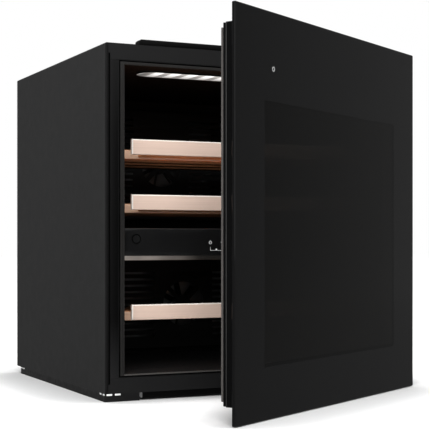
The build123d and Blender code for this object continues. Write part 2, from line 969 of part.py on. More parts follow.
def power_inlet():
    """The socket in the rear cover that the mains lead plugs into."""
    middle = inlet_height_middle()

    def slab(grow, y_range):
        return block(
            (inlet_place - inlet_width / 2 - grow, inlet_place + inlet_width / 2 + grow),
            y_range,
            (middle - inlet_height / 2 - grow, middle + inlet_height / 2 + grow),
        )

    socket = slab(0, (rear - inlet_depth, rear + over)) + slab(inlet_rim, (rear, rear + inlet_flange))
    socket -= slab(-inlet_rim, (rear - inlet_depth + inlet_rim, rear + inlet_flange + over))
    for step in (-1, 0, 1):
        place = (inlet_place + step * inlet_pin_pitch, rear - inlet_depth + inlet_rim, middle)
        socket += rod(inlet_pin_radius, place, (0, 1, 0), inlet_pin_length)
    return socket


def hinge_levels():
    """For each hinge: the frame's end face, the way out of the frame and the band's height range."""
    upper = (frame_high, 1, (top - sheet - bracket_band_height, top - sheet))
    lower = (frame_low, -1, (bottom + sheet, bottom + sheet + bracket_band_height))
    return upper, lower


def arm_left():
    """The left side of a bracket's arm, which stands on the plate and reaches the pin."""
    return min(pivot_x, half_width - wrapper_return) - bracket_arm


def bracket_screw_places():
    """The X places of the screws in a bracket's plate, to the left of its arm."""
    left = arm_left() - bracket_screw_room + 2 * screw_head_radius
    return [left, left + bracket_screw_pitch]


def arm_range(hinge):
    """The height range of a bracket's arm, clear of the door frame by the bush's flange."""
    face, way, _ = hinge
    near = face + way * (bush_flange + fit)
    return sorted((near, near + way * bracket_thickness))


def hinge_bracket(hinge):
    """A plate screwed to the front band, with an arm that carries the hinge pin."""
    _, _, band = hinge
    plate_right = half_width - wrapper_return
    plate_y = (front - bracket_plate_thickness, front)
    plate = block((arm_left() - bracket_screw_room, plate_right), plate_y, band)
    low, high = arm_range(hinge)
    arm = block(
        (arm_left(), pivot_x + bracket_arm_tail),
        (pivot_y, front - bracket_plate_thickness + over),
        (low, high),
    )
    arm += block((pivot_x - bracket_nose_radius, pivot_x), (pivot_y, plate_y[0]), (low, high))
    nose = rod(bracket_nose_radius, (pivot_x, pivot_y, low), (0, 0, 1), high - low)
    heel = block((arm_left(), plate_right), plate_y, (min(low, band[0]), max(high, band[1])))
    bracket = plate + arm + nose + heel
    middle = (band[0] + band[1]) / 2
    for x in bracket_screw_places():
        start = (x, front - bracket_plate_thickness - over, middle)
        bracket -= rod(screw_radius + screw_fit, start, (0, 1, 0), bracket_plate_thickness + 2 * over)
    return bracket - rod(pin_radius, (pivot_x, pivot_y, low - over), (0, 0, 1), high - low + 2 * over)


def hinge_pin(hinge):
    """A headed pin through the bracket's arm into the door's bush."""
    face, way, _ = hinge
    low, high = arm_range(hinge)
    outer = high if way > 0 else low
    shank = rod(pin_radius, (pivot_x, pivot_y, outer), (0, 0, -way), abs(outer - face) + pin_depth - fit)
    return shank + rod(pin_head_radius, (pivot_x, pivot_y, outer), (0, 0, way), pin_head_height)


def hinge_screws():
    """Screws that hold both brackets to the front bands."""
    screws = []
    for _, _, band in hinge_levels():
        middle = (band[0] + band[1]) / 2
        for x in bracket_screw_places():
            seat = (x, front - bracket_plate_thickness, middle)
            shank = rod(screw_radius, seat, (0, 1, 0), bracket_plate_thickness + front_thickness)
            screws.append(shank + rod(screw_head_radius, seat, (0, -1, 0), screw_head_height))
    return screws


def opened(shape):
    """Turn a piece of the shut door to the angle that it stands at."""
    return shape.rotate(Axis((pivot_x, pivot_y, 0), (0, 0, 1)), door_open_angle)


def window_range():
    """The clear window's half width and its height range."""
    return door_half - window_side_margin, (door_bottom + window_bottom_margin, door_top - window_top_margin)


def opening_range(grow):
    """The frame's opening: the window and the spacer round it, grown further by a margin."""
    half, (low, high) = window_range()
    edge = spacer_width + over + grow
    return half + edge, (low - edge, high + edge)


def door_glass():
    """The outer pane, as large as the whole door."""
    pane = block((-door_half, door_half), (door_face, glass_back), (door_bottom, door_top))
    return fillet(pane.edges().filter_by(Axis.Y), glass_corner)


def door_frame():
    """The frame behind the glass, rebated for the inner pane and bored for the hinge bushes."""
    half, opening = opening_range(0)
    outside_half = door_half - frame_side_inset
    body = ring(outside_half, (frame_low, frame_high), half, opening, (glass_back, frame_back))
    pane_half, pane_z = opening_range(pane_overlap)
    body -= block((-pane_half, pane_half), (frame_back - pane_thickness, frame_back + over), pane_z)
    for face, way, _ in hinge_levels():
        body -= rod(bush_radius, (pivot_x, pivot_y, face + way * over), (0, 0, -way), pin_depth + over)
    return body


def inner_pane():
    """The second pane, let into the back of the frame."""
    half, z_range = opening_range(pane_overlap)
    low, high = z_range
    return block(
        (-half + fit, half - fit),
        (frame_back - pane_thickness, frame_back),
        (low + fit, high - fit),
    )


def pane_spacer():
    """The bar that keeps the two panes apart, just outside the window."""
    half, (low, high) = opening_range(0)
    window_half, (window_low, window_high) = window_range()
    return ring(
        half - fit,
        (low + fit, high - fit),
        window_half + over,
        (window_low - over, window_high + over),
        (glass_back, frame_back - pane_thickness),
    )


def door_trim():
    """The ring that covers the frame's back and holds the gasket."""
    half, opening = opening_range(0)
    outer_half = door_half - frame_side_inset - trim_step
    outer_z = (frame_low + trim_step, frame_high - trim_step)
    return ring(outer_half, outer_z, half, opening, (frame_back, trim_back))


def door_gasket():
    """The soft seal that closes against the case."""
    half = door_half - gasket_side_inset
    low = door_bottom + gasket_end_inset
    high = door_top - gasket_end_inset
    seal = ring(
        half,
        (low, high),
        half - gasket_width,
        (low + gasket_width, high - gasket_width),
        (trim_back, front - fit),
    )
    back_edges = seal.edges().group_by(Axis.Y)[-1]
    return fillet(back_edges, gasket_round)


def hinge_bushes():
    """Flanged bushes at the top and bottom of the door frame."""
    bushes = []
    for face, way, _ in hinge_levels():
        sleeve = rod(bush_radius, (pivot_x, pivot_y, face), (0, 0, -way), pin_depth)
        flange = rod(bush_flange_radius, (pivot_x, pivot_y, face), (0, 0, way), bush_flange)
        bore_start = (pivot_x, pivot_y, face + way * (bush_flange + over))
        bore = rod(pin_radius + running_fit, bore_start, (0, 0, -way), pin_depth + bush_flange + 2 * over)
        bushes.append(sleeve + flange - bore)
    return bushes


os.makedirs("parts", exist_ok=True)

upper_hinge, lower_hinge = hinge_levels()
upper_zone, lower_zone = duct_zones()
arm_reach = fan_tip_radius + over + fan_seat
top_band_range = (top - top_band, top - sheet)
bottom_band_range = (bottom, bottom + bottom_band)

save("outer_wrapper", outer_wrapper())
save("front_top_rail", front_rail(top_band_range, sum(upper_hinge[2]) / 2))
save("front_bottom_rail", front_rail(bottom_band_range, sum(lower_hinge[2]) / 2))
save("jamb_strips", *jamb_strips())
save("inner_liner", inner_liner())
save("insulation_foam", insulation_foam(), divider_core())
save("machine_bay_panel", machine_bay_panel())
save("bottom_plate", bottom_plate())
save("machine_plate", machine_plate())
save("back_panel", back_panel())
save("base_tray", base_tray())
save("top_strip", top_strip())
save("bottom_strip", bottom_strip())

save("zone_divider", zone_divider())
save("control_panel", control_panel())
save("control_board", control_board())
save("panel_caps", *panel_caps())
save("divider_light", divider_light())
save("ceiling_light", ceiling_light())
save("led_board", led_board())

for number, low in enumerate(shelf_lows, start=1):
    save(f"shelf_{number}_front_board", front_board(low))
    save(f"shelf_{number}_frame", *shelf_frame(low))
save("shelf_runners", *shelf_runners())

for name, zone in (("upper", upper_zone), ("lower", lower_zone)):
    save(f"{name}_duct_cover", duct_cover(zone))
    save(f"{name}_evaporator", evaporator(zone))
    save(f"{name}_fan_motor", fan_place(zone) * fan_motor(arm_reach))
    save(f"{name}_fan_rotor", fan_place(zone) * fan_rotor())
save("temperature_sensors", *temperature_sensors())

save("compressor", compressor())
save("compressor_grommets", *compressor_grommets())
save("drip_tray", drip_tray())
save("drain_tube", drain_tube())
save("condenser_coil", *condenser_coil())
save("condenser_shroud", condenser_shroud())
save("condenser_fan_rotor", shroud_plane() * fan_rotor())
save("refrigerant_pipes", discharge_pipe(), suction_pipe(), capillary())
save("dryer", dryer())
save("rear_cover", rear_cover())
save("rear_cover_screws", *rear_cover_screws())
save("power_inlet", power_inlet())

for name, hinge in (("upper", upper_hinge), ("lower", lower_hinge)):
    save(f"{name}_hinge_bracket", hinge_bracket(hinge))
    save(f"{name}_hinge_pin", hinge_pin(hinge))
save("hinge_screws", *hinge_screws())

save("door_glass", opened(door_glass()))
save("door_frame", opened(door_frame()))
save("inner_pane", opened(inner_pane()))
save("pane_spacer", opened(pane_spacer()))
save("door_trim", opened(door_trim()))
save("door_gasket", opened(door_gasket()))
save("hinge_bushes", *[opened(bush) for bush in hinge_bushes()])
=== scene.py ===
"""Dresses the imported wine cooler: finished pieces, materials and a plain studio."""

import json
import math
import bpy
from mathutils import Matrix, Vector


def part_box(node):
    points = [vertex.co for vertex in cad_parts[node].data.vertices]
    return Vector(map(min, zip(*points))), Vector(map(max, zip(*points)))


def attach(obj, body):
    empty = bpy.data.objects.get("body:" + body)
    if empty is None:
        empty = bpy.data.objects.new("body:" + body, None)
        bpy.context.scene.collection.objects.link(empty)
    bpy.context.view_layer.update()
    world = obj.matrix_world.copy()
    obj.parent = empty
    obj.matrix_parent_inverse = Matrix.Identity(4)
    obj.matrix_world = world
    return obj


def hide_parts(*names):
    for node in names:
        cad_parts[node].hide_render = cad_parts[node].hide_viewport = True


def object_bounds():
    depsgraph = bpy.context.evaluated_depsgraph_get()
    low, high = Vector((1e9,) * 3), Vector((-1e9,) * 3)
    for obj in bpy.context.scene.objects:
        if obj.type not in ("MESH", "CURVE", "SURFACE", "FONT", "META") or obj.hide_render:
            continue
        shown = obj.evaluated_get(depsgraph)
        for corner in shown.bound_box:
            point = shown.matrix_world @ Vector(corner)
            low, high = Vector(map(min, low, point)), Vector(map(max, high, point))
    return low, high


bl_info = {
    "name": "Wine cooler dressing",
    "version": (1, 0, 0),
    "blender": (4, 5, 0),
    "location": "View3D > Sidebar > Wine cooler",
    "description": "Finished pieces, materials and a studio for the packed wine cooler",
    "category": "Object",
}

import bmesh
import bpy
from bpy.props import FloatProperty, FloatVectorProperty, IntProperty, PointerProperty
from mathutils import Matrix, Vector

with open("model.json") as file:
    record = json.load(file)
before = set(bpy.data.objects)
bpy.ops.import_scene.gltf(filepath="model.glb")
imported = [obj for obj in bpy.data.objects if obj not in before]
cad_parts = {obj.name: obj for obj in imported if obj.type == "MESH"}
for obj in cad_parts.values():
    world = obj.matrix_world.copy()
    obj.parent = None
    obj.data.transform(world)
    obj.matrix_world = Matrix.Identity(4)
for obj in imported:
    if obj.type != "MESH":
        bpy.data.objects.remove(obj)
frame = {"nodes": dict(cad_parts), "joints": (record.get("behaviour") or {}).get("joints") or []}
cad_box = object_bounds()

# The door's hinge, read from the frame. The door was drawn shut and stands open at rest.
DOOR_JOINT = next(joint for joint in frame["joints"] if joint["name"] == "door_hinge")
DOOR_PIVOT = Vector(DOOR_JOINT["pos_m"])
DOOR_OPEN = -math.radians(DOOR_JOINT["range_deg"][0])
TO_OPEN = (
    Matrix.Translation(DOOR_PIVOT)
    @ Matrix.Rotation(DOOR_OPEN, 4, "Z")
    @ Matrix.Translation(-DOOR_PIVOT)
)
TO_SHUT = TO_OPEN.inverted()

# Limits for cleaning copies of the CAD meshes
MERGE_DISTANCE = 2e-6
FLAT_ANGLE = math.radians(0.5)
BEVEL_ANGLE = math.radians(35)
SHADE_ANGLE = math.radians(32)
# How near to a plane counts as on it, and how much of a normal lies along the way that its face looks
PLANE_PLAY = 1e-5
FACING = 0.9
# A screw's head in shares of its radius: height, radius of its flat top, half width and reach of its cross
HEAD_HEIGHT = 0.53
HEAD_FLAT = 0.72
CROSS_HALF = 0.13
CROSS_REACH = 0.48
# The depth of the cross as a share of the height, and the head's side as shares of radius and height
CROSS_DEPTH = 0.7
HEAD_SIDE = ((0.93, 0.72), (1.0, 0.35), (1.0, 0.0))
# Light of the ceiling lens and of the divider's smoked lens, and no light at all
COOL_LIGHT = (1.0, 0.97, 0.93)
WARM_LIGHT = (1.0, 0.88, 0.79)
BLACK = (0.0, 0.0, 0.0)
# Height of the floor, a little under the base so that the two don't share a plane
FLOOR_LEVEL = -0.0003


def amount(name, description, default, **kind):
    """A number property, with a unit or subtype where one fits."""
    return FloatProperty(name=name, description=description, default=default, **kind)


def length(name, description, default):
    """A length property in metres."""
    return amount(name, description, default, unit="LENGTH", precision=5)


def position(name, description, default):
    """A place property in metres."""
    return FloatVectorProperty(
        name=name, description=description, default=default, subtype="XYZ", unit="LENGTH"
    )


def colour(name, description, default):
    """A colour property in linear light."""
    return FloatVectorProperty(
        name=name, description=description, default=default, subtype="COLOR", min=0.0, max=1.0
    )


class CoolerSizes(bpy.types.PropertyGroup):
    """Sizes of the finished pieces."""

    sheet_round: length("Sheet edge", "Rounding of thin sheet edges", 0.0004)
    seam_round: length("Seam edge", "Rounding of the edges that meet round the opening", 0.0008)
    plastic_round: length("Plastic edge", "Rounding of moulded edges", 0.0008)
    frame_round: length("Door frame edge", "Rounding of the door frame's edges", 0.0009)
    frame_back_round: length("Door frame back", "Rounding of the frame's outer back edge", 0.0026)
    wood_round: length("Wood edge", "Rounding of the shelf slats and rails", 0.0015)
    glass_corner: length("Glass corner", "Radius of the door glass at its corners", 0.002)
    glass_chamfer: length("Glass chamfer", "Ground chamfer round the door glass", 0.0004)
    window_border: length("Pane border", "How far the inner pane reaches past the window", 0.0167)
    window_drop: length("Window drop", "How much less that is along the window's lower edge", 0.0058)
    print_proud: length("Print height", "How far printed marks stand off their face", 0.00012)
    mark_size: length("Touch mark", "Diameter of the marks on the control panel", 0.0054)
    mark_stroke: length("Touch mark stroke", "Line width of the marks", 0.0006)
    mark_drop: length("Touch mark drop", "From the panel's top edge down to the marks", 0.0236)
    key_size: length("Door key", "Diameter of the touch key on the door glass", 0.007)
    key_stroke: length("Door key stroke", "Line width of the touch key", 0.0010)
    key_inset: length("Door key inset", "From the free edge of the door to the touch key", 0.105)
    key_drop: length("Door key drop", "From the top of the door to the touch key", 0.083)
    rail_width: length("Rail width", "Width of a shelf's side rails", 0.030)
    strip_cap: length("Bar end", "Length of the caps at the ends of the bottom bar", 0.0045)
    slot_first: length("First slot", "From a corner of the base to its first slot", 0.0024)
    slot_length: length("Slot length", "Length of the base's slots", 0.0106)
    slot_pitch: length("Slot pitch", "Spacing of the base's slots", 0.0145)
    slot_height: length("Slot height", "Height of the base's slots", 0.0035)
    slot_play: length("Slot play", "Gap between a glide and its slot", 0.0003)
    glide_depth: length("Glide depth", "How deep a glide reaches into its slot", 0.006)
    glide_round: length("Glide edge", "Rounding of the glides' edges", 0.0006)
    gasket_width: length("Gasket width", "Width of the door seal", 0.014)
    lens_rim: length("Lens rim", "Width of the dark rim round the ceiling light's lens", 0.0012)
    diode_pitch: length("Diode pitch", "Distance between two diodes of the ceiling light", 0.0316)
    diode_shift: length("Diode shift", "How far the row of diodes stands to the left of the middle", 0.0024)
    lens_fade: length("Lens fade", "Length over which each end of the ceiling light fades", 0.034)
    # The light edge along the fold is a painted highlight.
    fold_highlight_width: length("Fold", "Width of the light edge along the fold of the case", 0.0050)
    mouth_round: length("Mouth edge", "Rounding of the liner's edge round the opening", 0.0022)
    seam_width: length("Seam", "Width of the seam between the liner and the front of the case", 0.0022)
    seam_depth: length("Seam depth", "Depth of that seam", 0.0012)
    board_round: length("Board edge", "Rounding of the edges of the shelf fronts", 0.0020)
    slat_depth: length("Slat depth", "Depth of the front slat with the lip before it", 0.074)
    slat_gap: length("Slat gap", "Clear distance between two slats", 0.050)
    # Painted shade: the slats behind the front slat are darkened to this share of their tint.
    slat_shade_share: amount(
        "Slat share", "Share of the tint that is left behind the front slat", 0.13, subtype="FACTOR"
    )
    cap_rim: length("Cap rim", "Plain rim round a cap's groove", 0.0003)
    cap_slope: length("Cap groove slope", "Width of each slope of a cap's groove", 0.0004)
    cap_groove: length("Cap groove", "Width of the bottom of a cap's groove", 0.0009)
    cap_sink: length("Cap groove depth", "Depth of a cap's groove", 0.0007)
    bead_width: length("Bead slope", "Width of the slopes of the pressed back panel", 0.008)
    bead_height: length("Bead height", "How far the back panel's field is pressed out", 0.0014)
    bead_margin: length("Bead margin", "Plain margin round the pressed field", 0.035)
    bead_columns: IntProperty(
        name="Pressed columns", description="Columns in the pressed field", default=5, min=1
    )


class CoolerColours(bpy.types.PropertyGroup):
    """Colours of the finishes, in linear light."""

    case_paint: colour("Case paint", "Powder coat on the case", (0.0118, 0.0118, 0.0120))
    front_paint: colour("Front paint", "Bands above and below the opening", (0.0085, 0.0085, 0.0087))
    jamb: colour("Jambs", "Strips beside the opening", (0.0030, 0.0030, 0.0031))
    liner: colour("Liner", "Moulded inside of the case", (0.0085, 0.0084, 0.0086))
    flange: colour("Liner flange", "Front of the liner's flange", (0.0160, 0.0152, 0.0146))
    # Painted shade: near black for the bottoms of grooves and seams.
    gap: colour("Gaps", "Grooves and seams of the front", (0.0008, 0.0008, 0.0008))
    base: colour("Base", "Base tray, fans, compressor and inlet", (0.0060, 0.0060, 0.0062))
    strip: colour("Strips", "Bars above and below the case", (0.0012, 0.0012, 0.0012))
    strip_cap: colour("Bar ends", "Caps at the ends of the bottom bar", (0.085, 0.085, 0.085))
    panel: colour("Panel", "Gloss face of the divider", (0.0050, 0.0050, 0.0052))
    lens: colour("Lens", "Frosted ceiling lens", (0.30, 0.30, 0.29))
    light_bar: colour("Light bar", "Smoked light bar of the divider", (0.008, 0.0070, 0.0060))
    board: colour("Front boards", "Oiled beech of the shelf fronts", (0.645, 0.487, 0.405))
    # Painted highlight: the pale tint of the rounded front edges of the boards.
    board_edge_highlight: colour("Board edges", "Sanded edges of the shelf fronts", (0.86, 0.80, 0.74))
    slat: colour("Slats", "Beech of the slats and rails", (0.900, 0.370, 0.160))
    slat_front_highlight: colour("Slat face", "Planed front of the first slat and the rails", (0.880, 0.570, 0.400))
    # Painted highlight: a paler tint for the faces of slats and rails that look forward.
    gasket: colour("Gasket", "Soft door seal", (0.082, 0.075, 0.072))
    door_glass: colour("Door glass", "Black printed border of the door", (0.0026, 0.0026, 0.0027))
    window: colour("Window", "Tint of the smoked window", (0.020, 0.019, 0.017))
    clear_glass: colour("Inner pane", "Tint of the inner pane", (0.78, 0.82, 0.80))
    door_frame: colour("Door frame", "Frame behind the door glass", (0.0016, 0.0016, 0.0017))
    # Painted highlight: the pale tint of the rounding along the frame's outer back edge.
    frame_edge_highlight: colour("Door frame edge", "Rubbed back edge of that frame", (0.030, 0.030, 0.030))
    zinc: colour("Zinc", "Plated steel of the hinges and screws", (0.30, 0.30, 0.31))
    back_paint: colour("Back sheet", "Painted sheets of the back", (0.040, 0.041, 0.043))
    copper: colour("Copper", "Drawn copper tube", (0.70, 0.33, 0.19))
    foam: colour("Foam", "Insulation", (0.74, 0.64, 0.38))
    board_green: colour("Circuit board", "Solder resist", (0.012, 0.080, 0.030))
    alloy: colour("Alloy", "Rolled evaporators and pane spacer", (0.62, 0.63, 0.65))
    glide: colour("Glides", "White glides in the slots of the base", (0.86, 0.86, 0.85))
    pale_plastic: colour("Pale plastic", "Bushes and drain", (0.66, 0.66, 0.64))
    mark: colour("Marks", "Printed marks", (0.80, 0.80, 0.80))


class StageSettings(bpy.types.PropertyGroup):
    """The camera, the lamps and the floor."""

    camera_place: position("Camera", "Place of the camera", (-0.947, -2.097, 0.257))
    camera_turn: amount(
        "Camera turn", "How far it looks to the right of straight back", math.radians(25.21), subtype="ANGLE"
    )
    lens: amount("Lens", "Focal length of the camera", 101.28, unit="CAMERA")
    lens_shift: amount("Lens shift", "Upward shift of the view", 0.0654)
    key_place: position("Key lamp", "Place of the large front lamp", (-1.7, -3.4, 2.0))
    key_power: amount("Key power", "Power of the large front lamp", 165.0, unit="POWER")
    key_side: length("Key size", "Side of the large front lamp", 2.2)
    fill_place: position("Fill lamp", "Place of the overhead lamp", (0.2, -0.6, 3.2))
    fill_power: amount("Fill power", "Power of the overhead lamp", 60.0, unit="POWER")
    fill_side: length("Fill size", "Side of the overhead lamp", 3.0)
    sky: amount("Surround", "Strength of the even soft light", 0.45)
    floor_size: length("Floor", "Side of the floor", 40.0)
    floor_glow: amount("Floor lift", "Light that lifts the floor to white, further away", 0.72)
    contact_reach: length("Contact", "How near a piece has to be to shade the floor", 0.16)
    contact_power: amount("Contact fade", "Power by which the shade near a piece grows", 2.3)
    card_size: length("Card", "Side of the grey cards", 5.0)
    card_front: length("Card front", "Place along Y where the cards are darkest", -0.74)
    card_back: length("Card back", "Place along Y where the cards are palest", 0.25)
    card_grey: amount("Card grey", "Brightness of the cards at the front", 0.112)
    card_pale: amount("Card pale", "Brightness of the cards at the back", 0.166)


def sizes():
    """The size settings of the scene."""
    return bpy.context.scene.cooler_sizes


def colours():
    """The colour settings of the scene."""
    return bpy.context.scene.cooler_colours


# Small mesh tools


def of_kind(items, kind):
    """The items of one bmesh type."""
    return [item for item in items if isinstance(item, kind)]


def corners(points):
    """The lowest and highest corner of some points."""
    low = Vector([min(point[axis] for point in points) for axis in range(3)])
    high = Vector([max(point[axis] for point in points) for axis in range(3)])
    return low, high


def shut_box(node):
    """The corners of a door node as it lies when the door is shut."""
    return corners([TO_SHUT @ vertex.co for vertex in frame["nodes"][node].data.vertices])


def add_box(bm, low, high):
    """Add the box between two corners, and give back its vertices."""
    low = Vector(low)
    high = Vector(high)
    place = Matrix.Translation((low + high) / 2) @ Matrix.Diagonal((*(high - low), 1.0))
    return bmesh.ops.create_cube(bm, size=1.0, matrix=place)["verts"]


def cut(bm, point, normal, items=None):
    """Cut some items, or all of a bmesh, along a plane, and give back the items with their new ones."""
    items = items or [*bm.verts, *bm.edges, *bm.faces]
    return bmesh.ops.bisect_plane(bm, geom=items, plane_co=point, plane_no=normal)["geom"]


def looks_forward(face):
    """Whether a face looks to the front of the cooler."""
    return face.normal.y < -FACING


def round_edges(bm, edges, width, steps=2):
    """Bevel some edges of a bmesh, and give back the new faces."""
    made = bmesh.ops.bevel(
        bm,
        geom=edges,
        offset=width,
        offset_type="OFFSET",
        affect="EDGES",
        segments=steps,
        profile=0.5,
        material=-1,
        clamp_overlap=True,
    )
    return made["faces"]


def sharp_edges(bm, shortest=0.0):
    """The edges where two faces meet at a clear angle."""
    return [
        edge
        for edge in bm.edges
        if len(edge.link_faces) == 2
        and edge.calc_face_angle(0.0) > BEVEL_ANGLE
        and edge.calc_length() >= shortest
    ]


def merged_copy(node, wanted=None):
    """A bmesh of a CAD node, or of its wanted faces, with the triangles merged into plain faces."""
    bm = bmesh.new()
    bm.from_mesh(frame["nodes"][node].data)
    if wanted:
        spare = [face for face in bm.faces if not wanted(face)]
        bmesh.ops.delete(bm, geom=spare, context="FACES")
    bmesh.ops.remove_doubles(bm, verts=bm.verts, dist=MERGE_DISTANCE)
    bmesh.ops.dissolve_limit(
        bm,
        angle_limit=FLAT_ANGLE,
        use_dissolve_boundaries=False,
        verts=bm.verts,
        edges=bm.edges,
        delimit=set(),
    )
    return bm


def islands(bm):
    """The groups of connected vertices of a bmesh."""
    left = set(bm.verts)
    groups = []
    while left:
        reach = [left.pop()]
        group = set(reach)
        while reach:
            vertex = reach.pop()
            for edge in vertex.link_edges:
                other = edge.other_vert(vertex)
                if other not in group:
                    group.add(other)
                    reach.append(other)
        left -= group
        groups.append(group)
    return groups


def solid_boxes(node):
    """The box of each separate solid in a CAD node, in order of their lower corners."""
    bm = merged_copy(node)
    boxes = [corners([vertex.co for vertex in group]) for group in islands(bm)]
    bm.free()
    return sorted(boxes, key=lambda box: tuple(round(value, 5) for value in box[0]))


def add_object(bm, name, materials):
    """Make an object of a bmesh, which stays at the origin, and link it to the scene."""
    mesh = bpy.data.meshes.new(name)
    bm.to_mesh(mesh)
    bm.free()
    if not mesh.polygons:
        raise RuntimeError(f"{name} has no faces")
    for material in materials:
        mesh.materials.append(material)
    made = bpy.data.objects.new(name, mesh)
    bpy.context.scene.collection.objects.link(made)
    return made


def add_piece(bm, name, body, slot, materials, *replaced):
    """Make a smooth piece of a bmesh, ride it on a body and let it stand for CAD nodes."""
    piece = add_object(bm, name, materials)
    piece.data.shade_smooth()
    piece.data.set_sharp_from_angle(angle=SHADE_ANGLE)
    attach(piece, body)
    if replaced:
        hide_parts(*replaced)
    return piece


def soften(node, name, width, material, slot, body="cabinet", steps=2, shortest=0.004, inner=None):
    """A copy of a CAD node with rounded edges, which stands for it.

    Faces that look forward but lie behind the front of the node take the inner material, if there is one.
    """
    bm = merged_copy(node)
    materials = [material]
    if inner:
        materials.append(inner)
        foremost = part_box(node)[0].y
        for face in bm.faces:
            if looks_forward(face) and face.calc_center_median().y > foremost + MERGE_DISTANCE:
                face.material_index = 1
    round_edges(bm, sharp_edges(bm, shortest), width, steps)
    return add_piece(bm, name, body, slot, materials, node)


def paint(material, *nodes):
    """Give CAD nodes a material."""
    for node in nodes:
        for slot in frame["nodes"][node].material_slots:
            slot.material = material


def bar(bm, start, end, width, depth):
    """A thin straight bar between two points on a face that looks along -Y."""
    run = end - start
    turn = Matrix.Rotation(-math.atan2(run.z, run.x), 4, "Y")
    place = Matrix.Translation((start + end) / 2) @ turn
    scale = Matrix.Diagonal((run.length + width, depth, width, 1.0))
    bmesh.ops.create_cube(bm, size=1.0, matrix=place @ scale)


def hoop(bm, centre, diameter, stroke, depth, start=0.0, sweep=math.tau, steps=32):
    """A flat ring, or part of one, on a face that looks along -Y. Angles run from +X towards +Z."""
    place = (
        Matrix.Translation(centre)
        @ Matrix.Rotation(-start, 4, "Y")
        @ Matrix.Translation(((diameter - stroke) / 2, 0.0, 0.0))
        @ Matrix.Diagonal((stroke, depth, 1.0, 1.0))
    )
    section = bmesh.ops.create_grid(bm, x_segments=1, y_segments=1, size=0.5, matrix=place)["verts"]
    face = section[0].link_faces[0]
    outline = [*face.edges, *face.verts]
    whole = sweep >= math.tau
    if whole:
        bmesh.ops.delete(bm, geom=[face], context="FACES_ONLY")
    else:
        outline.append(face)
    bmesh.ops.spin(
        bm, geom=outline, cent=centre, axis=(0.0, -1.0, 0.0), angle=sweep, steps=steps, use_merge=whole
    )


def frame_sweep(bm, low, high, profile):
    """A closed profile carried round an upright rectangle. A profile point is an inset and a depth."""
    middle = Vector(((low.x + high.x) / 2, 0.0, (low.z + high.z) / 2))
    half = (high - low) / 2
    upright = Matrix.Rotation(math.pi / 2, 4, "X")
    made = bmesh.ops.create_grid(bm, x_segments=1, y_segments=1, size=1.0, matrix=upright)["verts"]
    plate = made[0].link_faces[0]
    loop = list(plate.edges)
    bmesh.ops.delete(bm, geom=[plate], context="FACES_ONLY")

    def place(verts, inset, y):
        """Set vertices at an inset from the rectangle, each at its own corner."""
        for vertex in verts:
            vertex.co.x = middle.x + math.copysign(half.x - inset, vertex.co.x - middle.x)
            vertex.co.z = middle.z + math.copysign(half.z - inset, vertex.co.z - middle.z)
            vertex.co.y = y

    bmesh.ops.translate(bm, verts=made, vec=middle)
    place(made, *profile[0])
    for inset, y in (*profile[1:], profile[0]):
        grown = bmesh.ops.extrude_edge_only(bm, edges=loop)["geom"]
        loop = of_kind(grown, bmesh.types.BMEdge)
        place(of_kind(grown, bmesh.types.BMVert), inset, y)
    bmesh.ops.remove_doubles(bm, verts=bm.verts, dist=MERGE_DISTANCE)
    bmesh.ops.recalc_face_normals(bm, faces=bm.faces)


def cross_recess(bm, grid, rim, radius, depth):
    """Sink a cross into a screw's head of 5 by 5 faces, and give back the vertices at its bottom."""
    half = radius * CROSS_HALF
    reach = radius * CROSS_REACH
    recess = []
    for face in dict.fromkeys(face for vertex in grid for face in vertex.link_faces):
        middle = face.calc_center_median()
        near, far = sorted((abs(middle.x), abs(middle.y)))
        if near < half and far < reach and not any(vertex in rim for vertex in face.verts):
            recess.append(face)
    sunk = of_kind(bmesh.ops.extrude_face_region(bm, geom=recess)["geom"], bmesh.types.BMVert)
    bmesh.ops.delete(bm, geom=recess, context="FACES")
    bmesh.ops.translate(bm, verts=sunk, vec=(0.0, 0.0, -depth))
    return sunk


def cross_screw(bm, seat, outward, radius, height):
    """A pan head with a cross recess, on a point of a face."""
    grid = bmesh.ops.create_grid(bm, x_segments=5, y_segments=5, size=1.0)["verts"]
    half = radius * CROSS_HALF
    reach = radius * CROSS_REACH
    lines = sorted({round(vertex.co.x, 4) for vertex in grid})
    moved = dict(zip(lines, (-1.0, -reach, -half, half, reach, 1.0)))
    rim = [vertex for vertex in grid if vertex.is_boundary]
    for vertex in grid:
        flat = Vector((moved[round(vertex.co.x, 4)], moved[round(vertex.co.y, 4)]))
        if vertex in rim:
            flat = vertex.co.xy.normalized() * radius * HEAD_FLAT
        vertex.co = (*flat, height)
    parts = [*grid, *cross_recess(bm, grid, rim, radius, height * CROSS_DEPTH)]
    ring = [edge for edge in bm.edges if edge.is_boundary and edge.verts[0] in rim]
    for share, level in HEAD_SIDE:
        grown = bmesh.ops.extrude_edge_only(bm, edges=ring)["geom"]
        ring = of_kind(grown, bmesh.types.BMEdge)
        verts = of_kind(grown, bmesh.types.BMVert)
        for vertex in verts:
            vertex.co = (*(vertex.co.xy.normalized() * radius * share), height * level)
        parts += verts
    bmesh.ops.edgeloop_fill(bm, edges=ring)
    turn = Vector((0.0, 0.0, 1.0)).rotation_difference(outward).to_matrix().to_4x4()
    bmesh.ops.transform(bm, matrix=Matrix.Translation(seat) @ turn, verts=parts)


def screws(node, name, way, material):
    """Cross-headed screws for the plain ones of a CAD node. The way is 1 to the back and -1 to the front."""
    bm = bmesh.new()
    for low, high in solid_boxes(node):
        radius = (high.x - low.x) / 2
        height = radius * HEAD_HEIGHT
        seat = (low + high) / 2
        seat.y = (high.y if way > 0.0 else low.y) - way * height
        cross_screw(bm, seat, Vector((0.0, way, 0.0)), radius, height)
    bmesh.ops.recalc_face_normals(bm, faces=bm.faces)
    return add_piece(bm, name, "cabinet", "steel_parts", [material], node)


# Materials


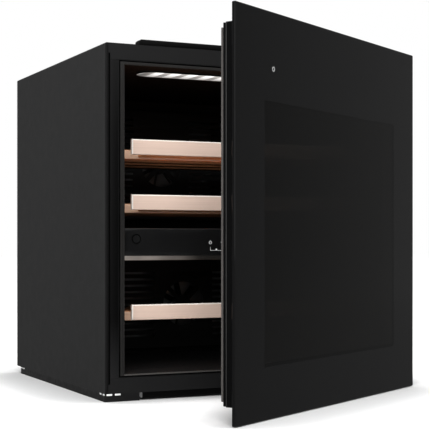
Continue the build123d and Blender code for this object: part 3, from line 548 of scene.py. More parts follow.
class Finish:
    """A node material in the making, with short ways to add and link nodes."""

    def __init__(self, name):
        self.material = bpy.data.materials.new(name)
        self.material.use_nodes = True
        self.tree = self.material.node_tree
        self.shader = self.tree.nodes["Principled BSDF"]
        self.place = self.add("ShaderNodeTexCoord").outputs["Object"]

    def add(self, kind, values=None, **settings):
        """Add a node, set its properties and the values of its inputs."""
        node = self.tree.nodes.new(kind)
        for key, value in settings.items():
            setattr(node, key, value)
        for key, value in (values or {}).items():
            node.inputs[key].default_value = value
        return node

    def link(self, source, target):
        """Link an output to an input."""
        self.tree.links.new(source, target)

    def surface(self, source):
        """Link an output to the material's surface."""
        self.link(source, self.tree.nodes["Material Output"].inputs["Surface"])

    def fix(self, **values):
        """Set plain values on the shader, with _ for the spaces in a socket's name."""
        for key, value in values.items():
            self.shader.inputs[key.replace("_", " ")].default_value = value

    def feed(self, socket, source):
        """Link an output to one of the shader's inputs."""
        self.link(source, self.shader.inputs[socket])

    def done(self, base, rough, **values):
        """Link the colour and the roughness, set plain values and give back the material."""
        self.feed("Base Color", base)
        self.feed("Roughness", rough)
        self.fix(**values)
        return self.material

    def stretched(self, scale, turn=0.0):
        """Object coordinates scaled by axis, after a turn about Z."""
        mapping = self.add("ShaderNodeMapping", {"Scale": scale, "Rotation": (0.0, 0.0, turn)})
        self.link(self.place, mapping.inputs["Vector"])
        return mapping.outputs["Vector"]

    def noise(self, scale, detail=2.0, vector=None, distortion=0.0):
        """A noise pattern from 0 to 1."""
        values = {"Scale": scale, "Detail": detail, "Distortion": distortion}
        node = self.add("ShaderNodeTexNoise", values)
        self.link(vector or self.place, node.inputs["Vector"])
        return node.outputs["Fac"]

    def cells(self, scale, vector=None, feature="F1"):
        """The distance pattern of a Voronoi texture."""
        node = self.add("ShaderNodeTexVoronoi", {"Scale": scale}, feature=feature)
        self.link(vector or self.place, node.inputs["Vector"])
        return node.outputs["Distance"]

    def span(self, source, low, high, start=0.3, end=0.7):
        """Run from a low to a high value while a pattern runs from its start to its end."""
        values = {"From Min": start, "From Max": end, "To Min": low, "To Max": high}
        node = self.add("ShaderNodeMapRange", values)
        self.link(source, node.inputs["Value"])
        return node.outputs["Result"]

    def math(self, operation, first, second=0.0):
        """A math node on outputs or plain numbers."""
        node = self.add("ShaderNodeMath", operation=operation)
        for index, value in enumerate((first, second)):
            if isinstance(value, (int, float)):
                node.inputs[index].default_value = value
            else:
                self.link(value, node.inputs[index])
        return node.outputs["Value"]

    def mix(self, share, first, second):
        """Mix two colours, each an output or a plain colour."""
        node = self.add("ShaderNodeMix", data_type="RGBA")
        self.link(share, node.inputs["Factor"])
        for socket, value in ((node.inputs["A"], first), (node.inputs["B"], second)):
            if isinstance(value, bpy.types.NodeSocket):
                self.link(value, socket)
            else:
                socket.default_value = (*value, 1.0)
        return node.outputs["Result"]

    def vary(self, share, tint, low, high):
        """A tint that a pattern varies between two shares of it."""
        return self.mix(share, shade(tint, low), shade(tint, high))

    def axis(self, name):
        """One object coordinate."""
        node = self.add("ShaderNodeSeparateXYZ")
        self.link(self.place, node.inputs["Vector"])
        return node.outputs[name]

    def bump(self, height, strength, distance):
        """Bump the shader's normal."""
        node = self.add("ShaderNodeBump", {"Strength": strength, "Distance": distance})
        self.link(height, node.inputs["Height"])
        self.feed("Normal", node.outputs["Normal"])


def shade(tint, share):
    """A colour made lighter or darker by a share."""
    return tuple(min(1.0, channel * share) for channel in tint[:3])


def painted_steel(name, tint, rough=(0.43, 0.47), grain=0.06, fold=None):
    """Powder coat: fine orange peel and a faint cloudiness.

    A fold gives the place of a folded front edge along Y, the width of a painted highlight beside it and the
    colour of its front face.
    """
    finish = Finish(name)
    base = finish.vary(finish.noise(5.0, 3.0), tint, 0.96, 1.04)
    speck = finish.noise(1400.0, 1.0)
    base = finish.mix(finish.span(speck, 0.0, 0.25), base, shade(tint, 1.4))
    if fold:
        line, width, front_tint = fold
        depth = finish.axis("Y")
        # Each tint with the shares of the fold's width between which it gives way to the one behind it. The
        # first, lighter one is a painted highlight along the rounding of the fold; the second is the colour
        # of the front face.
        for there, near, far in ((shade(tint, 1.5), 0.7, 1.3), (front_tint, 0.2, 0.3)):
            share = finish.span(depth, 1.0, 0.0, line + width * near, line + width * far)
            base = finish.mix(share, base, there)
    finish.bump(finish.noise(900.0, 2.0), strength=grain, distance=0.0003)
    return finish.done(base, finish.span(finish.noise(60.0, 3.0), *rough), Specular_IOR_Level=0.3)


def moulded_plastic(name, tint, rough=(0.42, 0.55), grain=0.16, specular=0.35):
    """Satin plastic with a fine spark-eroded grain."""
    finish = Finish(name)
    base = finish.vary(finish.noise(9.0, 3.0), tint, 0.82, 1.20)
    finish.bump(finish.cells(1500.0), strength=grain, distance=0.00025)
    return finish.done(base, finish.span(finish.noise(140.0, 2.0), *rough), Specular_IOR_Level=specular)


def painted_recess_shade(name, tint):
    """Dull black at the bottom of a groove or seam: painted shade where shade falls in the recess."""
    return moulded_plastic(name, tint, rough=(0.6, 0.7), grain=0.05, specular=0.05)


def jamb_plastic(name, tint, low, high):
    """Satin plastic with a painted highlight towards its top and a stronger one towards its foot."""
    finish = Finish(name)
    grain = finish.noise(420.0, 2.0)
    height = high.z - low.z
    up = finish.axis("Z")
    # The share of the tint that head, foot and grain never add up to
    palest = 5.0
    # The head and the foot are painted highlights that lighten the tint.
    head = finish.span(up, 0.0, 0.8, start=high.z - 0.22 * height, end=high.z)
    foot = finish.span(up, 3.4, 0.0, start=low.z, end=low.z + 0.18 * height)
    level = finish.math("ADD", finish.math("ADD", head, foot), finish.span(grain, 0.5, 0.7))
    share = finish.math("MULTIPLY", level, 1.0 / palest)
    base = finish.vary(share, tint, 0.0, palest)
    finish.bump(grain, strength=0.08, distance=0.0002)
    return finish.done(base, finish.span(grain, 0.42, 0.55), Specular_IOR_Level=0.2)


def gloss_panel(name, tint):
    """Gloss black moulding with faint wipe marks."""
    finish = Finish(name)
    cloud = finish.noise(14.0, 4.0, finish.stretched((0.4, 1.0, 2.0)))
    finish.bump(finish.noise(300.0, 1.0), strength=0.02, distance=0.0002)
    finish.fix(Specular_IOR_Level=0.4, Coat_Weight=0.25, Coat_Roughness=0.08)
    return finish.done(finish.vary(cloud, tint, 0.85, 1.20), finish.span(cloud, 0.16, 0.26))


def beech(name, tint, along, contrast=1.0, painted_shade_to_back=None):
    """Oiled beech: soft growth bands, fine grain lines and short dark flecks along one axis.

    A painted shade can darken the wood to the back, between two places along Y and down to a share of its
    tint.
    """
    finish = Finish(name)

    def squeezed(run, cross):
        """Coordinates with one scale along the wood and another across it."""
        return finish.stretched(tuple(run if axis == along else cross for axis in "XYZ"))

    bands = finish.noise(1.0, 3.0, squeezed(2.2, 26.0), 0.6)
    lines = finish.noise(1.0, 2.0, squeezed(6.0, 620.0))
    flecks = finish.cells(1.0, squeezed(95.0, 850.0))
    wide = finish.vary(finish.span(bands, 0.0, 1.0), tint, 1.0 + 0.09 * contrast, 1.0 - 0.14 * contrast)
    fine = finish.mix(finish.span(lines, 0.0, 0.55 * contrast), wide, shade(tint, 0.74))
    fleck_share = finish.span(flecks, 0.45 * contrast, 0.0, start=0.02, end=0.16)
    grain = finish.mix(fleck_share, fine, shade(tint, 0.5))
    # Painted shade that darkens the wood towards the back
    if painted_shade_to_back:
        start, end, share = painted_shade_to_back
        grain = finish.mix(finish.span(finish.axis("Y"), 0.0, 1.0 - share, start, end), grain, BLACK)
    finish.bump(lines, strength=0.18, distance=0.0003)
    return finish.done(grain, finish.span(lines, 0.36, 0.52), Specular_IOR_Level=0.45)


def seal_rubber(name, tint):
    """Soft extruded seal with faint draw lines and dust."""
    finish = Finish(name)
    dust = finish.noise(45.0, 4.0)
    lines = finish.noise(1.0, 1.0, finish.stretched((900.0, 900.0, 14.0)))
    base = finish.vary(dust, tint, 0.82, 1.18)
    base = finish.mix(finish.span(lines, 0.0, 0.4), base, shade(tint, 0.7))
    finish.bump(lines, strength=0.12, distance=0.0003)
    return finish.done(base, finish.span(dust, 0.5, 0.68), Specular_IOR_Level=0.35)


def door_glass(name, tint, spread, rough, **values):
    """Glass of the door with a trace of wiping, which varies its tint and its roughness."""
    finish = Finish(name)
    wiped = finish.noise(5.0, 4.0, finish.stretched((1.0, 1.0, 0.35), -DOOR_OPEN))
    return finish.done(finish.vary(wiped, tint, *spread), finish.span(wiped, *rough), **values)


def clear_glass(name, tint):
    """The inner pane, with a faint haze."""
    finish = Finish(name)
    haze = finish.noise(7.0, 3.0)
    base = finish.vary(haze, tint, 0.96, 1.03)
    return finish.done(base, finish.span(haze, 0.0, 0.03), Transmission_Weight=1.0, IOR=1.5)


def plated_steel(name, tint):
    """Zinc plate with rolled lines and small stains."""
    finish = Finish(name)
    lines = finish.noise(1.0, 2.0, finish.stretched((60.0, 60.0, 2400.0)))
    base = finish.vary(finish.noise(70.0, 4.0), tint, 0.80, 1.20)
    finish.bump(lines, strength=0.06, distance=0.0002)
    return finish.done(base, finish.span(lines, 0.28, 0.42), Metallic=1.0)


def rolled_alloy(name, tint):
    """Rolled aluminium plate with fine lines."""
    finish = Finish(name)
    lines = finish.noise(1.0, 2.0, finish.stretched((12.0, 900.0, 900.0)))
    finish.bump(lines, strength=0.08, distance=0.0002)
    return finish.done(finish.vary(lines, tint, 0.86, 1.08), finish.span(lines, 0.28, 0.46), Metallic=1.0)


def galvanised(name, tint):
    """Painted galvanised sheet, with the spangle showing through faintly."""
    finish = Finish(name)
    spangle = finish.cells(55.0)
    base = finish.vary(finish.noise(6.0, 3.0), tint, 0.88, 1.12)
    base = finish.mix(finish.span(spangle, 0.0, 0.5, start=0.1, end=0.8), base, shade(tint, 1.35))
    rough = finish.span(spangle, 0.36, 0.50, start=0.1, end=0.8)
    finish.bump(finish.noise(700.0, 2.0), strength=0.06, distance=0.0003)
    return finish.done(base, rough, Specular_IOR_Level=0.45)


def drawn_copper(name, tint):
    """Copper tube with brown oxide patches."""
    finish = Finish(name)
    oxide = finish.noise(55.0, 5.0)
    base = finish.vary(finish.span(oxide, 0.0, 1.0, start=0.4, end=0.7), tint, 1.0, 0.42)
    return finish.done(base, finish.span(oxide, 0.22, 0.48), Metallic=1.0)


def cellular_foam(name, tint):
    """Rigid foam with open cells."""
    finish = Finish(name)
    cells = finish.cells(420.0)
    base = finish.vary(finish.noise(20.0, 3.0), tint, 0.86, 1.08)
    base = finish.mix(finish.span(cells, 0.0, 0.6, start=0.2, end=0.8), base, shade(tint, 0.62))
    finish.feed("Base Color", base)
    finish.bump(cells, strength=0.5, distance=0.001)
    finish.fix(Roughness=0.9)
    return finish.material


def circuit_board(name, tint):
    """Solder resist over copper tracks, with rows of pads."""
    finish = Finish(name)
    solder = (0.55, 0.50, 0.38)
    tracks = finish.cells(160.0, feature="DISTANCE_TO_EDGE")
    pads = finish.cells(420.0)
    base = finish.vary(finish.span(tracks, 1.0, 0.0, start=0.02, end=0.06), tint, 1.0, 2.2)
    base = finish.mix(finish.span(pads, 1.0, 0.0, start=0.08, end=0.14), base, solder)
    rough = finish.span(tracks, 0.3, 0.5, start=0.02, end=0.06)
    return finish.done(base, rough, Specular_IOR_Level=0.5)


def frosted(name, tint, glow_tint):
    """A frosted lens without its light, and the streaks along it."""
    finish = Finish(name)
    frost = finish.noise(900.0, 1.0)
    finish.bump(frost, strength=0.1, distance=0.0002)
    rough = finish.span(frost, 0.38, 0.55)
    finish.done(finish.vary(frost, tint, 0.90, 1.0), rough, Emission_Color=(*glow_tint, 1.0))
    streak = finish.noise(1.0, 3.0, finish.stretched((28.0, 160.0, 160.0)))
    return finish, streak


def diode_patches(finish, pitch, shift=0.0):
    """A factor of 1 at each diode in a row along X, and 0 between two of them."""
    run = finish.math("MULTIPLY", finish.math("ADD", finish.axis("X"), shift), 1.0 / pitch)
    turn = finish.math("FRACT", finish.math("ADD", run, 0.5))
    off = finish.math("ABSOLUTE", finish.math("SUBTRACT", turn, 0.5))
    return finish.span(off, 1.0, 0.0, start=0.20, end=0.32)


def ceiling_lens(name, tint, size, low, high):
    """A lit lens whose diodes show best along its front, with two fading ends."""
    finish, streak = frosted(name, tint, COOL_LIGHT)
    depth = high.y - low.y
    across = finish.axis("Y")
    even = finish.span(across, 0.60, 0.25, start=low.y, end=low.y + 0.5 * depth)
    front = finish.span(across, 0.95, 0.06, start=low.y + 0.3 * depth, end=high.y)
    patches = diode_patches(finish, size.diode_pitch, size.diode_shift)
    lit = finish.math("ADD", even, finish.math("MULTIPLY", patches, front))
    lit = finish.math("MULTIPLY", lit, finish.span(streak, 0.85, 1.15))
    side = finish.math("ABSOLUTE", finish.axis("X"))
    fade = finish.span(side, 1.0, 0.10, start=high.x - size.lens_fade, end=high.x)
    finish.feed("Emission Strength", finish.math("MULTIPLY", lit, fade))
    return finish.material


def fading_lens(name, tint, glow, pitch, fade):
    """A dim lens whose light fades out along X, with faint diodes. The lens's own light is real; its
    fall-off along X is a painted highlight at the low end.
    """
    finish, streak = frosted(name, tint, WARM_LIGHT)
    lit = finish.span(diode_patches(finish, pitch), 0.85, 1.0, start=0.0, end=1.0)
    lit = finish.math("MULTIPLY", lit, finish.span(streak, 0.8, 1.15))
    along = finish.span(finish.axis("X"), glow, 0.02 * glow, *fade)
    finish.feed("Emission Strength", finish.math("MULTIPLY", lit, along))
    return finish.material


def printed_mark(name, tint):
    """Screen-printed ink with a faint mottle and a little light of its own."""
    finish = Finish(name)
    mottle = finish.noise(1800.0, 2.0)
    finish.feed("Emission Color", finish.vary(mottle, tint, 0.9, 1.0))
    rough = finish.span(mottle, 0.4, 0.6)
    return finish.done(finish.vary(mottle, tint, 0.86, 1.0), rough, Emission_Strength=0.34)


# Operators, one for each piece or group of like pieces


class DressCase(bpy.types.Operator):
    """Finish the outer case: wrapper, front bands, jambs, base and strips"""

    bl_idname = "cooler.dress_case"
    bl_label = "Case"

    # Faces of the bands that look forward more straightly than this are shaded flat
    flat_front = 0.99

    def execute(self, context):
        size = sizes()
        tint = colours()
        fold = (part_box("outer_wrapper")[0].y, size.fold_highlight_width, tint.jamb[:])
        case_paint = painted_steel("case_powder_coat", tint.case_paint, fold=fold)
        front_paint = painted_steel("front_band_paint", tint.front_paint)
        # The bottoms of the grooves in the bands and jambs take painted shade.
        gap = painted_recess_shade("gap_shade", tint.gap)
        jamb = jamb_plastic("jamb_plastic", tint.jamb, *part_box("jamb_strips"))
        base = moulded_plastic("base_plastic", tint.base)
        paint(case_paint, "outer_wrapper")
        for node in ("front_top_rail", "front_bottom_rail"):
            band = soften(
                node, f"{node}_band", size.seam_round, front_paint, "front_band", shortest=0.02, inner=gap
            )
            for face in band.data.polygons:
                face.use_smooth = face.normal.y > -self.flat_front
        soften("jamb_strips", "jamb_strip_pair", size.plastic_round, jamb, "jamb_plastic", inner=gap)
        soften("base_tray", "base_tray_moulding", size.plastic_round, base, "base_plastic")
        strip = moulded_plastic("strip_plastic", tint.strip, grain=0.08, specular=0.15)
        soften("top_strip", "top_strip_bar", size.plastic_round, strip, "base_plastic", shortest=0.003)
        cap = moulded_plastic("strip_cap_plastic", tint.strip_cap, grain=0.08, specular=0.3)
        self.bottom_bar(size, [strip, cap])
        self.glides(size, moulded_plastic("glide_nylon", tint.glide, rough=(0.35, 0.5), grain=0.05))
        return {"FINISHED"}

    def bottom_bar(self, size, materials):
        """The bar below the case, with a paler cap at each end."""
        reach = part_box("bottom_strip")[1].x - size.strip_cap
        bm = merged_copy("bottom_strip")
        round_edges(bm, sharp_edges(bm, shortest=0.003), size.plastic_round)
        for place in (-reach, reach):
            cut(bm, (place, 0.0, 0.0), (1.0, 0.0, 0.0))
        for face in bm.faces:
            if abs(face.calc_center_median().x) > reach:
                face.material_index = 1
        add_piece(bm, "bottom_strip_bar", "cabinet", "base_plastic", materials, "bottom_strip")

    def glides(self, size, nylon):
        """White glides that fill the slots of the base at its corners, a little behind its faces."""
        low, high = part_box("base_tray")
        top = high.z - size.slot_play
        bottom = high.z - size.slot_height + size.slot_play
        bm = bmesh.new()
        for number in range(2):
            near = size.slot_first + number * size.slot_pitch + size.slot_play
            far = near + size.slot_length - 2 * size.slot_play
            for side in (-1.0, 1.0):
                wall = side * high.x
                inside = sorted((wall - side * size.slot_play, wall - side * size.glide_depth))
                across = sorted((wall - side * near, wall - side * far))
                depth = (low.y + size.slot_play, low.y + size.glide_depth)
                spans = [(across, depth)]
                for along in ((low.y + near, low.y + far), (high.y - far, high.y - near)):
                    spans.append((inside, along))
                for wide, deep in spans:
                    made = add_box(bm, (wide[0], deep[0], bottom), (wide[1], deep[1], top))
                    edges = dict.fromkeys(edge for vertex in made for edge in vertex.link_edges)
                    round_edges(bm, list(edges), size.glide_round)
        add_piece(bm, "base_slot_glides", "cabinet", "bush_plastic", [nylon])


class DressInside(bpy.types.Operator):
    """Finish the liner, divider, ducts, runners and sensors"""

    bl_idname = "cooler.dress_inside"
    bl_label = "Inside"

    # Places of the flange, the seam and the mouth's foot in the liner's list of materials
    on_flange, in_seam, at_foot = 1, 2, 3
    # How much lighter than the flange the mouth's foot is painted: a painted highlight along the lip of the
    # opening
    foot_highlight_share = 3.6

    def execute(self, context):
        size = sizes()
        tint = colours()
        liner = moulded_plastic("liner_plastic", tint.liner)
        flange = moulded_plastic("flange_plastic", tint.flange, grain=0.08)
        seam = painted_recess_shade("seam_shade", tint.gap)
        foot_highlight_tint = shade(tint.flange, self.foot_highlight_share)
        mouth = moulded_plastic("mouth_highlight_plastic", foot_highlight_tint, rough=(0.16, 0.24), grain=0.02)
        self.liner(size, [liner, flange, seam, mouth])
        soften("zone_divider", "divider_shell", size.plastic_round, liner, "liner_plastic", shortest=0.01)
        for zone in ("upper", "lower"):
            node = f"{zone}_duct_cover"
            soften(node, f"{zone}_duct_panel", size.sheet_round, liner, "liner_plastic", shortest=0.0045)
        soften("shelf_runners", "shelf_runner_ledges", size.plastic_round, liner, "liner_plastic")
        paint(liner, "temperature_sensors")
        paint(cellular_foam("insulation", tint.foam), "insulation_foam")
        return {"FINISHED"}

    def liner(self, size, materials):
        """The liner with rounded edges and a seam sunk round its flange, painted dark as shade."""
        bm = merged_copy("inner_liner")
        low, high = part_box("inner_liner")
        self.round_mouth(bm, size, low, high)
        round_edges(bm, sharp_edges(bm, shortest=0.01), size.plastic_round)
        flange = [
            face
            for face in bm.faces
            if looks_forward(face) and face.calc_center_median().y < low.y + MERGE_DISTANCE
        ]
        for face in flange:
            face.material_index = self.on_flange
        self.sink_seam(bm, size, flange)
        bmesh.ops.recalc_face_normals(bm, faces=bm.faces)
        add_piece(bm, "liner_moulding", "cabinet", "liner_plastic", materials, "inner_liner")

    def round_mouth(self, bm, size, low, high):
        """Round the edges of the opening. Its foot is paler than the rest, a painted highlight."""
        margin = size.mouth_round

        def on_mouth(point):
            """Whether a point lies in the front plane, inside the flange."""
            in_width = abs(point.x) < high.x - margin
            in_height = low.z + margin < point.z < high.z - margin
            return point.y < low.y + MERGE_DISTANCE and in_width and in_height

        mouth = [edge for edge in sharp_edges(bm) if all(on_mouth(vertex.co) for vertex in edge.verts)]
        foot = min(vertex.co.z for edge in mouth for vertex in edge.verts)
        for face in round_edges(bm, mouth, size.mouth_round, steps=3):
            low_down = face.calc_center_median().z < foot + size.mouth_round
            face.material_index = self.at_foot if low_down else self.on_flange

    def sink_seam(self, bm, size, flange):
        """Cut a narrow rim off the outside of the flange and sink it."""
        low, high = corners([vertex.co for face in flange for vertex in face.verts])
        for axis, normal in ((0, Vector((1.0, 0.0, 0.0))), (2, Vector((0.0, 0.0, 1.0)))):
            for place in (low[axis] + size.seam_width, high[axis] - size.seam_width):
                items = dict.fromkeys(
                    item for face in flange for item in (face, *face.edges, *face.verts)
                )
                flange = of_kind(cut(bm, normal * place, normal, list(items)), bmesh.types.BMFace)
        rim = []
        for face in flange:
            middle = face.calc_center_median()
            from_side = min(middle.x - low.x, high.x - middle.x)
            from_end = min(middle.z - low.z, high.z - middle.z)
            if min(from_side, from_end) < size.seam_width:
                rim.append(face)
        sunk = of_kind(bmesh.ops.extrude_face_region(bm, geom=rim)["geom"], bmesh.types.BMVert)
        bmesh.ops.delete(bm, geom=rim, context="FACES")
        bmesh.ops.translate(bm, verts=sunk, vec=(0.0, size.seam_depth, 0.0))
        # The sunk seam takes painted shade.
        for vertex in sunk:
            for face in vertex.link_faces:
                face.material_index = self.in_seam


class DressControlPanel(bpy.types.Operator):
    """Finish the control panel with its caps and touch marks"""

    bl_idname = "cooler.dress_control_panel"
    bl_label = "Control panel"

    # Places of the marks along the panel, in metres right of the middle of the case
    power_x = -0.079
    lamp_x = -0.057
    up_x = 0.035
    down_x = 0.060
    zone_x = 0.081
    # Straight lines of the marks: two ends, each right of and above the middle in half sizes of a mark
    power_line = ((0.0, 0.7), (0.0, 1.3))
    lamp_lines = (((-0.3, -0.75), (0.3, -0.75)), ((-0.3, -1.05), (0.3, -1.05)))
    arrow_lines = (((-1.0, -0.5), (0.0, 0.5)), ((1.0, -0.5), (0.0, 0.5)))
    zone_lines = tuple(((-0.8, rise), (0.8, rise)) for rise in (-0.8, 0.0, 0.8))
    # The lamp's ring: its height in half sizes of a mark, and its share of a mark's size
    lamp_rise = 0.25
    lamp_share = 0.8
    # Foot and head of the lock's bracket and height of its padlock, in half sizes of a mark
    bracket_foot = -4.9
    bracket_head = -2.75
    padlock = 0.55
    # Half width of the padlock, and the height and size of its shackle, in shares of its height
    padlock_half = 0.4
    shackle_rise = 1.45
    shackle_size = 1.5
    # Line widths: thin ones as a share of full ones, and the shackle's as a share of thin ones
    thin_share = 0.7
    shackle_share = 0.8
    # Where the power ring's arc begins, and how far it goes
    power_start = math.radians(120)
    power_sweep = math.radians(300)
    # Steps round the shackle and round a cap
    shackle_steps = 12
    cap_steps = 48

    def execute(self, context):
        size = sizes()
        tint = colours()
        gloss = gloss_panel("panel_gloss", tint.panel)
        soften("control_panel", "control_panel_face", size.sheet_round, gloss, "panel_gloss", shortest=0.02)
        self.caps(size, [gloss, painted_recess_shade("cap_groove_shade", tint.gap)])
        paint(circuit_board("panel_circuit_board", tint.board_green), "control_board")
        bm = bmesh.new()
        self.marks(bm, size)
        bmesh.ops.recalc_face_normals(bm, faces=bm.faces)
        ink = printed_mark("panel_marks", tint.mark)
        add_piece(bm, "control_panel_marks", "cabinet", "panel_gloss", [ink])
        return {"FINISHED"}

    def caps(self, size, materials):
        """Flush caps with a groove inside their rim, painted dark as shade."""
        bm = bmesh.new()
        upright = Matrix.Rotation(math.pi / 2, 4, "X")
        for low, high in solid_boxes("panel_caps"):
            radius = (high.x - low.x) / 2
            made = bmesh.ops.create_cone(
                bm,
                cap_ends=True,
                segments=self.cap_steps,
                radius1=radius,
                radius2=radius,
                depth=high.y - low.y,
                matrix=Matrix.Translation((low + high) / 2) @ upright,
            )
            faces = {face for vertex in made["verts"] for face in vertex.link_faces}
            front = min(faces, key=lambda face: face.calc_center_median().y)
            bmesh.ops.inset_individual(bm, faces=[front], thickness=size.cap_rim, depth=0.0)
            for width, rise in (
                (size.cap_slope, -size.cap_sink),
                (size.cap_groove, 0.0),
                (size.cap_slope, size.cap_sink),
            ):
                grown = bmesh.ops.inset_individual(bm, faces=[front], thickness=width, depth=rise)
                # The groove's faces take painted shade.
                for face in grown["faces"]:
                    face.material_index = 1
        add_piece(bm, "control_panel_caps", "cabinet", "panel_gloss", materials, "panel_caps")

    def marks(self, bm, size):
        """Power ring, lamp ring, their lock bracket, two arrows and the zone mark."""
        low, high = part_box("control_panel")
        middle = Vector((0.0, low.y - size.print_proud / 2, high.z - size.mark_drop))
        reach = size.mark_size / 2
        depth = size.print_proud
        stroke = size.mark_stroke
        thin = stroke * self.thin_share

        def spot(x, across, rise):
            """A point on the panel, in half sizes of a mark from the middle of one."""
            return middle + Vector((x + reach * across, 0.0, reach * rise))

        def lines(x, ends, width, flip=1.0):
            """Straight lines of a mark, upside down where the flip is -1."""
            for (start, foot), (end, head) in ends:
                bar(bm, spot(x, start, foot * flip), spot(x, end, head * flip), width, depth)

        power = spot(self.power_x, 0.0, 0.0)
        hoop(bm, power, size.mark_size, stroke, depth, self.power_start, self.power_sweep)
        lines(self.power_x, [self.power_line], stroke)
        lamp = spot(self.lamp_x, 0.0, self.lamp_rise)
        hoop(bm, lamp, size.mark_size * self.lamp_share, stroke, depth)
        lines(self.lamp_x, self.lamp_lines, thin)
        # The bracket under these two, with a small padlock on it
        foot = self.bracket_foot
        for x in (self.power_x, self.lamp_x):
            lines(x, [((0.0, foot), (0.0, self.bracket_head))], thin)
        bar(bm, spot(self.power_x, 0.0, foot), spot(self.lamp_x, 0.0, foot), thin, depth)
        between = (self.power_x + self.lamp_x) / 2
        half = self.padlock * self.padlock_half
        rise = foot + self.padlock
        lines(between, [((-half, rise), (half, rise))], reach * self.padlock)
        shackle = spot(between, 0.0, foot + self.padlock * self.shackle_rise)
        wide = reach * self.padlock * self.shackle_size
        hoop(bm, shackle, wide, thin * self.shackle_share, depth, 0.0, math.pi, self.shackle_steps)
        lines(self.up_x, self.arrow_lines, stroke)
        lines(self.down_x, self.arrow_lines, stroke, flip=-1.0)
        lines(self.zone_x, self.zone_lines, stroke)


class DressLights(bpy.types.Operator):
    """Finish the ceiling light, the divider's light bar and the light board"""

    bl_idname = "cooler.dress_lights"
    bl_label = "Lights"

    # The divider's bar: its light at the left end, and the share of its half length where that has faded.
    # Its own light is real; the fall-off from the left end is a painted highlight.
    bar_glow = 0.30
    bar_highlight_fade = 0.415

    def execute(self, context):
        size = sizes()
        tint = colours()
        low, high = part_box("ceiling_light")
        ceiling = ceiling_lens("ceiling_lens", tint.lens, size, low, high)
        bm = merged_copy("ceiling_light")
        lit = [
            face
            for face in bm.faces
            if face.normal.z < -FACING and face.calc_center_median().z < low.z + PLANE_PLAY
        ]
        bmesh.ops.inset_region(bm, faces=lit, thickness=size.lens_rim, depth=0.0, use_even_offset=True)
        for face in bm.faces:
            face.material_index = 0 if face in lit else 1
        rim = moulded_plastic("lens_rim_plastic", tint.liner)
        add_piece(bm, "ceiling_light_lens", "cabinet", "light_lens", [ceiling, rim], "ceiling_light")
        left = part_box("divider_light")[0].x
        fade = (left, left * self.bar_highlight_fade)
        lens = fading_lens("divider_lens", tint.light_bar, self.bar_glow, 2 * size.diode_pitch, fade)
        paint(lens, "divider_light")
        paint(circuit_board("light_circuit_board", tint.board_green), "led_board")
        return {"FINISHED"}


class DressShelves(bpy.types.Operator):
    """Finish the three shelves: front boards, side rails and scalloped slats"""

    bl_idname = "cooler.dress_shelves"
    bl_label = "Shelves"

    def execute(self, context):
        size = sizes()
        tint = colours()
        board = beech("board_beech", tint.board, "X", contrast=0.55)
        # The boards' rounded edges take a paler beech, a painted highlight.
        edge = beech("board_edge_highlight_beech", tint.board_edge_highlight, "X", contrast=0.3)
        slat_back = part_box("shelf_1_frame")[0].y + size.slat_depth
        painted_shade_to_back = (slat_back, slat_back + size.slat_gap, size.slat_shade_share)
        slat = beech("slat_beech", tint.slat, "X", painted_shade_to_back=painted_shade_to_back)
        rail = beech("rail_beech", tint.slat, "Y")
        # A paler beech for the forward faces, a painted highlight.
        highlit_front = beech("slat_front_highlight_beech", tint.slat_front_highlight, "X", contrast=0.7)
        for number in (1, 2, 3):
            body = f"shelf_{number}"
            node = f"{body}_frame"
            self.front_board(size, body, [board, edge])
            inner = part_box(node)[1].x - size.rail_width
            rails = merged_copy(node, lambda face: not self.on_slat(face, inner))
            slats = merged_copy(node, lambda face: self.on_slat(face, inner))
            for bm, name, material in ((rails, "rails", rail), (slats, "slats", slat)):
                round_edges(bm, sharp_edges(bm, size.wood_round * 3), size.wood_round)
                # Forward faces in front of the first slat's back take the paler beech, a painted highlight.
                for face in bm.faces:
                    face.normal_update()
                    if looks_forward(face) and face.calc_center_median().y < slat_back:
                        face.material_index = 1
                add_piece(bm, f"{body}_{name}", body, "slat_wood", [material, highlit_front], node)
        return {"FINISHED"}

    def front_board(self, size, body, materials):
        """The facing board with paler edges at its front: a painted highlight on their rounding."""
        node = f"{body}_front_board"
        low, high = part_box(node)
        bm = bmesh.new()
        add_box(bm, low, high)
        front = min(bm.faces, key=lambda face: face.calc_center_median().y)
        # The rounding's faces, all but those along the foot, take the painted highlight.
        for face in round_edges(bm, list(front.edges), size.board_round, steps=3):
            if face.calc_center_median().z > low.z + size.board_round:
                face.material_index = 1
        add_piece(bm, f"{body}_front_panel", body, "shelf_wood", materials, node)

    def on_slat(self, face, inner):
        """Whether a face belongs to a slat: it lies between the rails, or ends against one."""
        middle = face.calc_center_median()
        gap = inner - abs(middle.x)
        ends = abs(gap) < MERGE_DISTANCE and face.normal.x * middle.x > 0.0
        return gap > MERGE_DISTANCE or ends


class DressCooling(bpy.types.Operator):
    """Finish the fans, evaporators and the machine bay"""

    bl_idname = "cooler.dress_cooling"
    bl_label = "Cooling"

    def execute(self, context):
        tint = colours()
        fan = moulded_plastic("fan_plastic", tint.base, rough=(0.30, 0.42))
        paint(fan, "upper_fan_rotor", "lower_fan_rotor", "condenser_fan_rotor")
        paint(fan, "upper_fan_motor", "lower_fan_motor", "condenser_shroud", "drip_tray")
        paint(rolled_alloy("evaporator_alloy", tint.alloy), "upper_evaporator", "lower_evaporator")
        paint(painted_steel("compressor_paint", tint.base, rough=(0.26, 0.38)), "compressor")
        paint(seal_rubber("grommet_rubber", shade(tint.gasket, 0.3)), "compressor_grommets")
        paint(drawn_copper("drawn_copper", tint.copper), "refrigerant_pipes", "dryer", "condenser_coil")
        paint(moulded_plastic("drain_plastic", tint.pale_plastic), "drain_tube")
        return {"FINISHED"}


